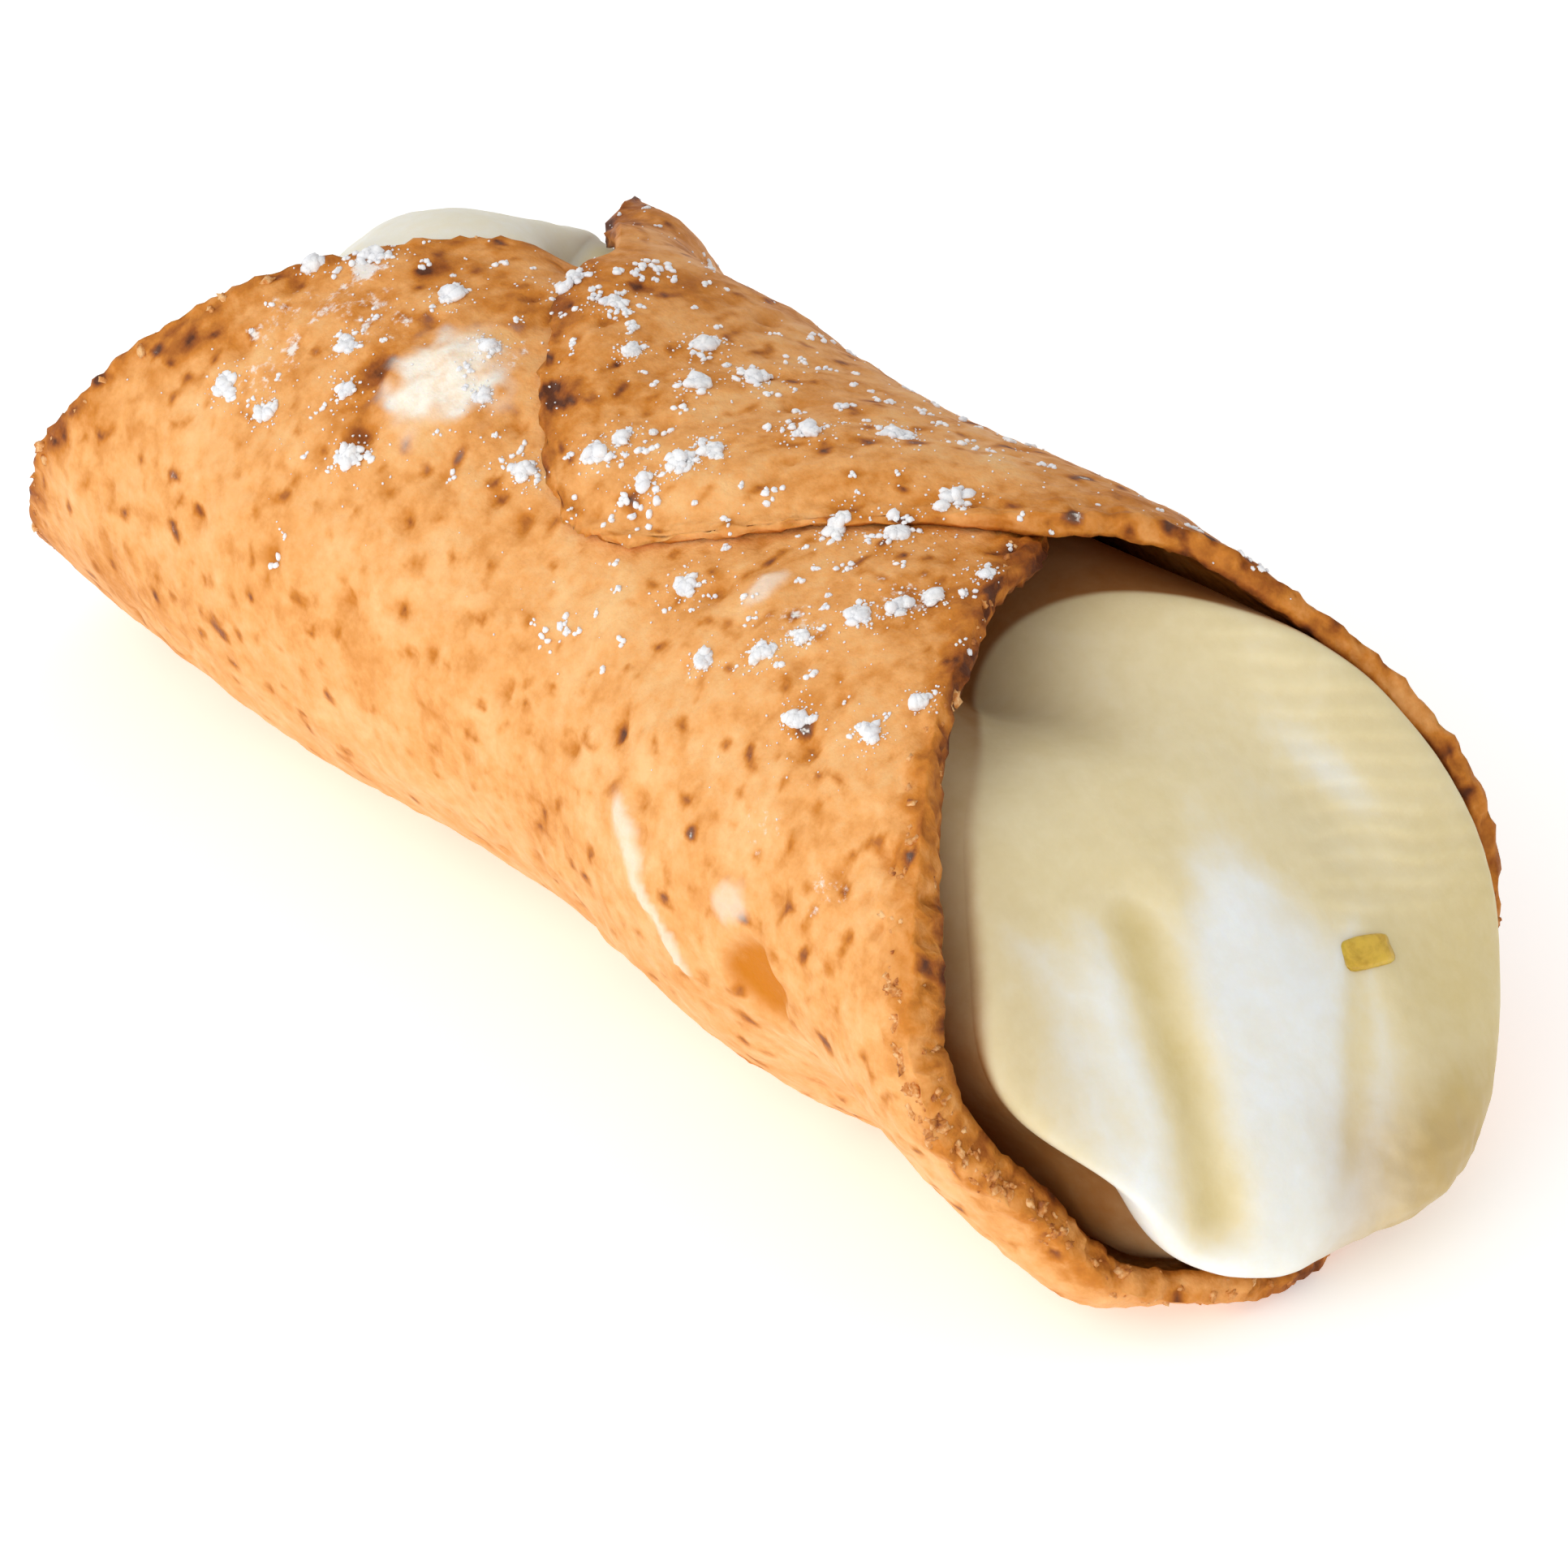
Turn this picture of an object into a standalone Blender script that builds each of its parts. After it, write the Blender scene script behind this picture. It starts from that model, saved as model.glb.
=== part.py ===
"""A cannoli: a square of fried dough rolled round a cream filling, lying on its side.

The roll runs along X, with its wider mouth at +X and its tail at -X.  A place on the dough is
given by its distance along the roll and by its turn: the angle, in degrees, from the sheet's
middle line, which lies underneath.  Turns grow up the far side (+Y), over the top and on to the
flap's corner.  Negative turns go up the near side (-Y) and end under the flap.
"""
import math

import bmesh
import bpy
from mathutils import Vector

# Driving dimensions, in millimetres and degrees.  A share is a part of the roll's radius.
MM = 0.001
SHEET_HALF_LENGTH = 60.0      # along the roll, on the middle line
FLAP_TURN = 231.0             # from the middle line to the flap's corner
FLAP_CORNER_CUT = 1.5         # the corner is rounded off by this much
INNER_TURN = 191.0            # from the middle line to the end under the flap
SHEET_ROUNDNESS = 1.36        # 1 is a straight-sided diamond, 2 an ellipse
SEAM_TURN = -14.0             # the middle line lies this far round from straight down
SKEW = 0.55                   # how far the sheet was rolled out of line, per half turn
WALL = 1.7                    # dough thickness
GAP = 0.35                    # clear gap between neighbouring layers
LAYER_INSET = WALL + GAP

ROLL_RADIUS = 20.0            # outside, half the height
WIDTH_RATIO = 1.175           # the roll is wider than it is high
TAPER_START = -10.0           # where along the roll both ends begin to change
MOUTH_PINCH = 0.067           # the lip at +X curls in by this share
TAIL_PINCH = 0.103            # and the end at -X by this one
FAR_FLARE = 0.30              # the far side opens out towards the mouth by this share
# A spot is an amount, the turn it is at and how far round it reaches
LIP_SWELL = (0.118, -60.0, 52.0)  # a share, by which the near side of the lip opens
LIP_CURL = (0.46, -44.0, 31.0)    # a share, by which its very edge curls in again
LIP_CURL_POWER = 12.0
RIM_REACH = (2.0, -105.5, 20.0)   # the near rim reaches this much further along
# A swelling is its height, x, reach along, turn and reach round
SWELLINGS = ((-2.85, 35.4, 8.9, -46.0, 29.0), (2.76, 56.0, 6.6, -25.0, 17.0))
WAIST = 0.098                 # the sides are drawn in near the middle by this share
WAIST_LENGTH = 18.0
STRAIGHT_BOTTOM_REACH = 30.0  # but not within about this angle of straight down
FLAP_RISE = LAYER_INSET + 0.05
FLAP_RISE_FROM = 125.0        # the flap climbs on to the layer under it between these turns
FLAP_RISE_TO = 166.0
UNDERSIDE_CUT = 0.5           # pressed flat underneath

# The whole roll's middle is put over the origin
ROLL_SHIFT_X = -1.0
ROLL_SHIFT_Y = -1.95

# The cream
MOUTH_RECESS = 1.05           # the cream's side ends this far inside the rim at +X
MOUTH_TOP_RECESS = (4.0, -175.0, 40.0)
MOUTH_OVERFILL = (2.8, 80.0, 70.0)
MOUTH_INSETS = ((6.5, -145.0, 45.0), (2.2, -95.0, 30.0), (2.9, -42.0, 30.0))
INSET_LENGTH = 22.0           # it draws away from the dough over this length
MOUTH_DOME = 7.0              # how far it swells out of the mouth
MOUTH_LEAN = 2.0              # how far up from the roll's line the dome points
OVERHANGS = ((0.17, 54.0, 26.0), (0.10, -36.0, 44.0))  # shares, by which it hangs over the lip
TAIL_RECESS = 0.25
TAIL_RECESS_CHANGE = 0.55     # deeper by this underneath, and less deep on top
TAIL_DOME = 7.3
TAIL_LEAN = 50.0
TOP_ROUNDING = 12.0           # rounds off the top of both rims
DOME_RADIUS = 15.2            # the domes grow round towards their middles
FOLD_DEPTH = 1.25             # a fold that the spatula left down the mouth's dome
FOLD_WIDTH = 2.2
FOLD_PLACE = -8.6             # how far it is from the dome's middle, to the far side
FOLD_TOP = -9.0               # the fold runs from here down to FOLD_BOTTOM
FOLD_BOTTOM = 17.5
FOLD_FADE = 5.0

# How finely the solids are cut
SHEET_STEPS_LONG = 26
SHEET_STEPS_ROUND = 62
CREAM_STEPS_LONG = 16
CREAM_STEPS_ROUND = 48
DOME_STEPS = 8
SHARP_ANGLE = math.radians(40.0)

DOUGH_COLOUR = (0.80, 0.47, 0.20, 1.0)
DOUGH_ROUGHNESS = 0.6
CREAM_COLOUR = (0.84, 0.77, 0.58, 1.0)
CREAM_ROUGHNESS = 0.45


def bump(turn, centre, reach):
    """A smooth rise to 1 at one turn, which dies away over the reach on both sides."""
    away = (turn - centre + 180.0) % 360.0 - 180.0
    return math.exp(-((away / reach) ** 2))


def spot(turn, amount_centre_reach):
    """An amount that is there at one turn and dies away on both sides."""
    amount, centre, reach = amount_centre_reach
    return amount * bump(turn, centre, reach)


def smooth_step(value):
    """From 0 to 1 with no corner at either end."""
    value = min(max(value, 0.0), 1.0)
    return value * value * (3.0 - 2.0 * value)


def half_length(turn):
    """Half the sheet's length along the roll at a turn."""
    share = min(abs(turn) / FLAP_TURN, 1.0)
    return SHEET_HALF_LENGTH * (1.0 - share ** SHEET_ROUNDNESS) ** (1.0 / SHEET_ROUNDNESS)


def roll_angle(turn):
    """The angle round the roll from straight up, growing towards the near side."""
    return math.radians(180.0 + turn + SEAM_TURN)


def roll_radius(x, turn):
    """Outside radius of the dough, before the flap rides over it."""
    angle = roll_angle(turn)
    to_mouth = max((x - TAPER_START) / (SHEET_HALF_LENGTH - TAPER_START), 0.0)
    to_tail = max((TAPER_START - x) / (SHEET_HALF_LENGTH + TAPER_START), 0.0)
    off_bottom = 1.0 - bump(math.degrees(angle), 180.0, STRAIGHT_BOTTOM_REACH)
    far_side = max(-math.sin(angle), 0.0)
    shape = 1.0
    shape -= MOUTH_PINCH * to_mouth ** 5
    shape -= TAIL_PINCH * to_tail ** 2
    shape -= WAIST * off_bottom * math.exp(-((x / WAIST_LENGTH) ** 2))
    shape += FAR_FLARE * to_mouth ** 2 * far_side ** 1.8
    shape += spot(turn, LIP_SWELL) * to_mouth ** 2
    shape -= spot(turn, LIP_CURL) * to_mouth ** LIP_CURL_POWER
    radius = ROLL_RADIUS * shape
    for amount, middle, reach, middle_turn, turn_reach in SWELLINGS:
        near = math.exp(-(((x - middle) / reach) ** 2))
        radius += near * spot(turn, (amount, middle_turn, turn_reach))
    return radius


def place(x, turn, radius, lowest):
    """The point at a radius from the roll's axis, in metres, no lower than the underside there."""
    angle = roll_angle(turn)
    y = -WIDTH_RATIO * radius * math.sin(angle)
    z = ROLL_RADIUS - UNDERSIDE_CUT + radius * math.cos(angle)
    return Vector((x + ROLL_SHIFT_X, y + ROLL_SHIFT_Y, max(z, lowest))) * MM


def sheet_point(along, turn):
    """A point on the outside of the dough: along runs from -1 to 1 across the sheet."""
    x = along * half_length(turn) + max(along, 0.0) * spot(turn, RIM_REACH) + SKEW * turn / 180.0
    climb = smooth_step((turn - FLAP_RISE_FROM) / (FLAP_RISE_TO - FLAP_RISE_FROM))
    return place(x, turn, roll_radius(x, turn) + FLAP_RISE * climb, 0.0)


def cream_rim(turn, end):
    """Where the cream's side ends: end is 1 at the mouth and -1 at the tail."""
    rim = half_length(180.0 - math.hypot(180.0 - abs(turn), TOP_ROUNDING))
    if end > 0:
        recess = MOUTH_RECESS + spot(turn, MOUTH_TOP_RECESS) - spot(turn, MOUTH_OVERFILL)
    else:
        recess = TAIL_RECESS + TAIL_RECESS_CHANGE * math.cos(math.radians(turn))
    return end * (rim - recess)


def cream_side(x, turn):
    """A point on the side of the cream, just clear of the dough or drawn in from it."""
    at_mouth = smooth_step(1.0 - (cream_rim(turn, 1) - x) / INSET_LENGTH)
    drawn_in = sum(spot(turn, inset) for inset in MOUTH_INSETS) * at_mouth
    return place(x, turn, roll_radius(x, turn) - LAYER_INSET - drawn_in, LAYER_INSET)


def fold_depth(turn, across):
    """Depth of the fold on the mouth's dome: across is 1 at the rim and 0 at the middle."""
    angle = math.radians(turn)
    sideways = across * math.sin(angle) * ROLL_RADIUS
    down = across * math.cos(angle) * ROLL_RADIUS
    ends = smooth_step((down - FOLD_TOP) / FOLD_FADE) * smooth_step((FOLD_BOTTOM - down) / FOLD_FADE)
    return FOLD_DEPTH * ends * math.exp(-(((sideways - FOLD_PLACE) / FOLD_WIDTH) ** 2))


def dome_point(turn, step, end, middle):
    """A point on a cream dome: step runs from 0 at the rim to 1 at the middle."""
    quarter = 0.5 * math.pi * step
    across = math.cos(quarter) ** 0.85
    height = math.sin(quarter) ** 0.9
    if end > 0:
        lean = math.radians(MOUTH_LEAN)
        across += sum(spot(turn, overhang) for overhang in OVERHANGS) * math.sin(2.0 * quarter)
        swell = MOUTH_DOME * height - fold_depth(turn, across)
    else:
        lean = math.radians(TAIL_LEAN)
        swell = TAIL_DOME * height
    rim = cream_side(cream_rim(turn, end), turn) - middle
    angle = roll_angle(turn)
    round_rim = Vector((
        rim.x,
        -WIDTH_RATIO * DOME_RADIUS * math.sin(angle) * MM,
        DOME_RADIUS * math.cos(angle) * MM))
    outwards = Vector((end * math.cos(lean), 0.0, math.sin(lean)))
    return middle + rim.lerp(round_rim, smooth_step(step)) * across + outwards * (swell * MM)


def ring(point_at):
    """Points right round the roll, one for each turn."""
    turns = [-180.0 + 360.0 * i / CREAM_STEPS_ROUND for i in range(CREAM_STEPS_ROUND)]
    return [point_at(turn) for turn in turns]


def dome_rings(end):
    """The rings of one dome from the rim inwards, and its tip."""
    rim = ring(lambda turn: cream_side(cream_rim(turn, end), turn))
    middle = sum(rim, Vector()) / len(rim)
    rings = []
    for i in range(DOME_STEPS):
        rings.append(ring(lambda turn: dome_point(turn, i / DOME_STEPS, end, middle)))
    return rings, dome_point(0.0, 1.0, end, middle)


def side_ring(share):
    """A ring on the cream's side, at a share of the way from its tail to its mouth."""
    def point_at(turn):
        tail = cream_rim(turn, -1)
        return cream_side(tail + share * (cream_rim(turn, 1) - tail), turn)
    return ring(point_at)


def new_object(name, builder, collection, material):
    """An object made from a finished bmesh."""
    mesh = bpy.data.meshes.new(name)
    builder.normal_update()
    builder.to_mesh(mesh)
    builder.free()
    mesh.materials.append(material)
    mesh.shade_smooth()
    mesh.set_sharp_from_angle(angle=SHARP_ANGLE)
    made = bpy.data.objects.new(name, mesh)
    collection.objects.link(made)
    return made


def new_material(name, colour, roughness):
    """A plain Principled material."""
    material = bpy.data.materials.new(name)
    material.use_nodes = True
    shader = material.node_tree.nodes["Principled BSDF"]
    shader.inputs["Base Color"].default_value = colour
    shader.inputs["Roughness"].default_value = roughness
    shader.inputs["Metallic"].default_value = 0.0
    return material


def build_shell(collection):
    """The dough: a flat grid rolled up, then given its thickness inwards."""
    builder = bmesh.new()
    bmesh.ops.create_grid(
        builder, x_segments=SHEET_STEPS_LONG, y_segments=SHEET_STEPS_ROUND, size=1.0)
    whole_turn = INNER_TURN + FLAP_TURN - FLAP_CORNER_CUT
    for vertex in builder.verts:
        turn = -INNER_TURN + 0.5 * (vertex.co.y + 1.0) * whole_turn
        vertex.co = sheet_point(vertex.co.x, turn)
    bmesh.ops.reverse_faces(builder, faces=builder.faces)
    material = new_material("fried dough", DOUGH_COLOUR, DOUGH_ROUGHNESS)
    shell = new_object("shell", builder, collection, material)
    wall = shell.modifiers.new("wall", "SOLIDIFY")
    wall.thickness = WALL * MM
    wall.offset = -1.0
    return shell


def build_cream(collection):
    """The filling: one body that runs right through the roll and domes out of both ends."""
    tail_rings, tail_tip = dome_rings(-1)
    mouth_rings, mouth_tip = dome_rings(1)
    sides = [side_ring(i / CREAM_STEPS_LONG) for i in range(1, CREAM_STEPS_LONG)]
    builder = bmesh.new()
    rows = []
    for points in tail_rings[::-1] + sides + mouth_rings:
        rows.append([builder.verts.new(point) for point in points])
    tail_vertex = builder.verts.new(tail_tip)
    mouth_vertex = builder.verts.new(mouth_tip)
    for i in range(CREAM_STEPS_ROUND):
        j = (i + 1) % CREAM_STEPS_ROUND
        builder.faces.new((tail_vertex, rows[0][i], rows[0][j]))
        builder.faces.new((mouth_vertex, rows[-1][j], rows[-1][i]))
        for row, next_row in zip(rows, rows[1:]):
            builder.faces.new((row[i], next_row[i], next_row[j], row[j]))
    bmesh.ops.recalc_face_normals(builder, faces=builder.faces)
    return new_object("cream", builder, collection, new_material("cream", CREAM_COLOUR, CREAM_ROUGHNESS))


def main():
    """Clear the scene and build the cannoli."""
    for old in list(bpy.data.objects):
        bpy.data.objects.remove(old, do_unlink=True)
    collection = bpy.data.collections.new("cannoli")
    bpy.context.scene.collection.children.link(collection)
    build_shell(collection)
    build_cream(collection)


main()
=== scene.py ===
"""A cannoli: a square of fried dough rolled round a cream filling and dusted with icing sugar.

The file is laid out as an add-on.  Each operator makes one piece, or one group of like pieces, and
the panel in the 3D view's sidebar lists them.  Shapes are worked out in millimetres and degrees.

The roll runs along X, with its wider mouth at +X and its tail at -X.  A place on the dough is
given by x and by its turn: the angle from the sheet's middle line, which lies underneath.  Turns
grow up the far side (+Y), over the top and on to the flap's corner.  Negative turns go up the near
side (-Y) and end under the flap.
"""

import math

import bmesh
import bpy
import numpy as np
from bpy.props import FloatProperty, FloatVectorProperty, IntProperty, PointerProperty
from bpy.types import Operator, Panel, PropertyGroup
from mathutils import Matrix, Vector, noise
from mathutils.bvhtree import BVHTree


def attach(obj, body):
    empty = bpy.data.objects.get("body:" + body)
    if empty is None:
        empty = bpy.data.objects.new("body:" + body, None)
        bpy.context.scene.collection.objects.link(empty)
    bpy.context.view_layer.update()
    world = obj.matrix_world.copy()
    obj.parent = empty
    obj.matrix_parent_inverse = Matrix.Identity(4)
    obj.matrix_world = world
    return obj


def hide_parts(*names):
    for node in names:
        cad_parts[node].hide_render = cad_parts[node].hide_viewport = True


bl_info = {
    "name": "Cannoli",
    "version": (1, 0, 0),
    "blender": (4, 5, 0),
    "location": "3D View > Sidebar > Cannoli",
    "description": "Builds a sugared cannoli with a cream filling",
    "category": "Add Mesh",
}

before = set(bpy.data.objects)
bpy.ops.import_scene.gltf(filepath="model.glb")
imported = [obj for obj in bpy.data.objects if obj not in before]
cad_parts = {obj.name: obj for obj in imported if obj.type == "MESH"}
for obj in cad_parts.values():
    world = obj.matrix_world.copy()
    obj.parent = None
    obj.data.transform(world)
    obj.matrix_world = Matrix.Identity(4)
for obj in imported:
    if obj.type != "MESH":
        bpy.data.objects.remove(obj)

MM = 0.001

# The roll, as the frame has it.  A share is a part of the roll's radius
SHEET_HALF_LENGTH = 60.0      # along the roll, on the middle line
FLAP_TURN = 231.0             # from the middle line to the flap's corner
FLAP_CORNER_CUT = 1.5         # the corner is rounded off by this much
INNER_TURN = 191.0            # from the middle line to the end under the flap
SHEET_ROUNDNESS = 1.36        # 1 is a straight-sided diamond, 2 an ellipse
SEAM_TURN = -14.0             # the middle line lies this far round from straight down
SKEW = 0.55                   # how far the sheet was rolled out of line, per half turn
WALL = 1.7                    # dough thickness
LAYER_INSET = WALL + 0.35     # one layer and the clear gap under it
ROLL_RADIUS = 20.0            # outside, half the height
WIDTH_RATIO = 1.175           # the roll is wider than it is high
TAPER_START = -10.0           # where along the roll both ends begin to change
MOUTH_PINCH = 0.067           # the lip at +X curls in by this share
TAIL_PINCH = 0.103            # and the end at -X by this one
FAR_FLARE = 0.30              # the far side opens out towards the mouth by this share
# A spot is an amount, the turn it is at and how far round it reaches
LIP_SWELL = (0.118, -60.0, 52.0)  # a share, by which the near side of the lip opens
LIP_CURL = (0.46, -44.0, 31.0)    # a share, by which its very edge curls in again
LIP_CURL_POWER = 12.0
RIM_REACH = (2.0, -105.5, 20.0)   # the near rim reaches this much further along
# A swelling is its height, x, reach along, turn and reach round
SWELLINGS = ((-2.85, 35.4, 8.9, -46.0, 29.0), (2.76, 56.0, 6.6, -25.0, 17.0))
WAIST = 0.098                 # the sides are drawn in near the middle by this share
WAIST_LENGTH = 18.0
STRAIGHT_BOTTOM_REACH = 30.0  # but not within about this angle of straight down
FLAP_RISE = LAYER_INSET + 0.05
FLAP_RISE_FROM = 125.0        # the flap climbs on to the layer under it between these turns
FLAP_RISE_TO = 166.0
UNDERSIDE_CUT = 0.5           # pressed flat underneath
ROLL_SHIFT = (-1.0, -1.95)    # puts the whole roll's middle over the origin
ARC_RADIUS = 21.7             # turns a turn into a distance round the roll

# The cream, as the frame has it
MOUTH_RECESS = 1.05           # the cream's side ends this far inside the rim at +X
MOUTH_TOP_RECESS = (4.0, -175.0, 40.0)
MOUTH_OVERFILL = (2.8, 80.0, 70.0)
MOUTH_INSETS = ((6.5, -145.0, 45.0), (2.2, -95.0, 30.0), (2.9, -42.0, 30.0))
INSET_LENGTH = 22.0           # it draws away from the dough over this length
MOUTH_DOME = 7.0              # how far it swells out of the mouth
MOUTH_LEAN = 2.0              # how far up from the roll's line the dome points
OVERHANGS = ((0.17, 54.0, 26.0), (0.10, -36.0, 44.0))  # shares, by which it hangs over the lip
TAIL_RECESS = 0.25
TAIL_RECESS_CHANGE = 0.55     # deeper by this underneath, and less deep on top
TAIL_DOME = 7.3
TAIL_LEAN = 50.0
TOP_ROUNDING = 12.0           # rounds off the top of both rims
DOME_RADIUS = 15.2            # the domes grow round towards their middles

# What the visible model adds to the frame's shapes.  These are spots too
MOUTH_SIDE_CHANGES = ((4.6, -170.0, 15.0), (-2.2, -122.0, 22.0), (-0.9, 150.0, 24.0))  # more insets
MOUTH_FULL_SIDE = (1.7, 147.0, 20.0)       # the cream reaches this much further along
LIFTED = (-0.062, 14.0, 17.0)              # a share, by which it hangs over less
MOUTH_RIM_REACHES = (RIM_REACH, (2.3, -177.0, 12.0))      # how much longer the sheet is
TAIL_RIM_REACHES = ((-3.0, 179.0, 9.0), (0.6, 158.0, 8.0))
# The tail's dome is a hill on a low swell: how far up from the dome's middle the hill lies, as a
# share of the way to the rim, its reach sideways and up, and what the swell and the hill add
TAIL_HILL_PLACE = 0.74
TAIL_HILL_SIZE = (0.46, 0.50)
TAIL_HILL_SHARES = (0.30, 0.82)

# How finely the pieces are cut
SHEET_CELLS_LONG = 230
SHEET_CELLS_ROUND = 326
RIM_CUTS = 3
HIDDEN_FROM_EDGE = 5.0        # past this from the edge the cream hides the inside of the dough
HIDDEN_SHARE = 0.03           # share of the faces that are kept there
CREAM_SEGMENTS = 340
CREAM_RINGS = 190


def fade(distance, reach):
    """1 at no distance, dying away to 0 well past the reach on both sides."""
    return np.exp(-((distance / reach) ** 2))


def bump(turn, centre, reach):
    """A smooth rise to 1 at one turn, which dies away over the reach on both sides."""
    return fade((turn - centre + 180.0) % 360.0 - 180.0, reach)


def spot(turn, amount_centre_reach):
    """An amount that is there at one turn and dies away on both sides."""
    amount, centre, reach = amount_centre_reach
    return amount * bump(turn, centre, reach)


def smooth_step(value, start=0.0, end=1.0):
    """From 0 at the start to 1 at the end with no corner at either."""
    share = np.clip((value - start) / (end - start), 0.0, 1.0)
    return share * share * (3.0 - 2.0 * share)


def plateau(value, start, full, last, end):
    """From 0 at the start to 1 between full and last, and back to 0 at the end."""
    return smooth_step(value, start, full) * (1.0 - smooth_step(value, last, end))


def half_length(turn):
    """Half the sheet's length along the roll at a turn."""
    share = np.minimum(np.abs(turn) / FLAP_TURN, 1.0)
    return SHEET_HALF_LENGTH * (1.0 - share ** SHEET_ROUNDNESS) ** (1.0 / SHEET_ROUNDNESS)


def roll_angle(turn):
    """The angle round the roll from straight up, growing towards the near side."""
    return np.radians(180.0 + turn + SEAM_TURN)


def roll_radius(x, turn):
    """Outside radius of the dough, before the flap rides over it."""
    angle = roll_angle(turn)
    to_mouth = np.maximum((x - TAPER_START) / (SHEET_HALF_LENGTH - TAPER_START), 0.0)
    to_tail = np.maximum((TAPER_START - x) / (SHEET_HALF_LENGTH + TAPER_START), 0.0)
    off_bottom = 1.0 - bump(np.degrees(angle), 180.0, STRAIGHT_BOTTOM_REACH)
    far_side = np.maximum(-np.sin(angle), 0.0)
    shape = 1.0 - MOUTH_PINCH * to_mouth ** 5 - TAIL_PINCH * to_tail ** 2
    shape = shape - WAIST * off_bottom * fade(x, WAIST_LENGTH)
    shape = shape + FAR_FLARE * to_mouth ** 2 * far_side ** 1.8
    shape = shape + spot(turn, LIP_SWELL) * to_mouth ** 2
    radius = ROLL_RADIUS * (shape - spot(turn, LIP_CURL) * to_mouth ** LIP_CURL_POWER)
    for amount, middle, reach, middle_turn, turn_reach in SWELLINGS:
        radius = radius + fade(x - middle, reach) * spot(turn, (amount, middle_turn, turn_reach))
    return radius


def place(x, turn, radius, lowest):
    """Points at a radius from the roll's axis, in millimetres, no lower than the underside there."""
    angle = roll_angle(turn)
    y = -WIDTH_RATIO * radius * np.sin(angle) + ROLL_SHIFT[1]
    z = ROLL_RADIUS - UNDERSIDE_CUT + radius * np.cos(angle)
    return np.stack(np.broadcast_arrays(x + ROLL_SHIFT[0], y, np.maximum(z, lowest)), axis=-1)


def dough_point(x, turn):
    """Points on the outside of the smooth dough."""
    climb = smooth_step(turn, FLAP_RISE_FROM, FLAP_RISE_TO)
    return place(x, turn, roll_radius(x, turn) + FLAP_RISE * climb, 0.0)


def dough_outwards(x, turn):
    """The direction straight out of the dough."""
    step = 0.2
    long_way = dough_point(x + step, turn) - dough_point(x - step, turn)
    round_way = dough_point(x, turn + step) - dough_point(x, turn - step)
    out = np.cross(round_way, long_way)
    return out / np.linalg.norm(out, axis=-1, keepdims=True)


def cream_rim(turn, end):
    """Where the cream's side ends: end is 1 at the mouth and -1 at the tail."""
    rim = half_length(180.0 - np.hypot(180.0 - np.abs(turn), TOP_ROUNDING))
    if end > 0:
        recess = MOUTH_RECESS + spot(turn, MOUTH_TOP_RECESS) - spot(turn, MOUTH_OVERFILL)
        recess = recess - spot(turn, MOUTH_FULL_SIDE)
    else:
        recess = TAIL_RECESS + TAIL_RECESS_CHANGE * np.cos(np.radians(turn))
    return end * (rim - recess)


def cream_side(x, turn):
    """Points on the side of the cream, just clear of the dough or drawn in from it."""
    at_mouth = smooth_step(1.0 - (cream_rim(turn, 1) - x) / INSET_LENGTH)
    drawn_in = sum(spot(turn, inset) for inset in (*MOUTH_INSETS, *MOUTH_SIDE_CHANGES)) * at_mouth
    return place(x, turn, roll_radius(x, turn) - LAYER_INSET - drawn_in, LAYER_INSET)


def soft_noise(points, grain, layer=0):
    """Smooth noise between about -1 and 1 with features of a size, in millimetres."""
    scaled = points / grain + layer * 7.31
    return np.array([noise.noise(point) for point in scaled.tolist()])


def uneven(points, *layers):
    """Soft noise added up.  A layer is an amount, its grain in millimetres and its number."""
    return sum(amount * soft_noise(points, grain, number) for amount, grain, number in layers)


# ---------------------------------------------------------------- objects and meshes


def deselect_all():
    """Nothing selected, so that the next operator acts on its own piece alone."""
    bpy.ops.object.select_all(action="DESELECT")


def read_points(piece):
    """The piece's vertices in millimetres."""
    points = np.empty(len(piece.data.vertices) * 3)
    piece.data.vertices.foreach_get("co", points)
    return points.reshape(-1, 3) / MM


def write_points(piece, points):
    """Moves the piece's vertices to these places, in millimetres."""
    piece.data.vertices.foreach_set("co", (points * MM).ravel())
    piece.data.update()


def read_mark(piece, name):
    """A number kept on each vertex."""
    values = np.empty(len(piece.data.vertices))
    piece.data.attributes[name].data.foreach_get("value", values)
    return values


def write_mark(piece, name, values):
    """Keeps a number on each vertex, for the materials and the next steps to read."""
    mark = piece.data.attributes.get(name) or piece.data.attributes.new(name, "FLOAT", "POINT")
    mark.data.foreach_set("value", np.asarray(values, dtype=np.float32))


def apply_modifier(piece, kind, **settings):
    """Adds a modifier and applies it."""
    modifier = piece.modifiers.new(kind.lower(), kind)
    for name, value in settings.items():
        setattr(modifier, name, value)
    bpy.ops.object.modifier_apply(modifier=modifier.name)


def name_piece(piece, name, material):
    """Names a piece, gives it its material and lets it move with the body."""
    piece.name = name
    piece.data.name = name
    piece.data.materials.clear()
    piece.data.materials.append(material)
    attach(piece, "root")
    return piece


# ---------------------------------------------------------------- nodes


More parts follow.
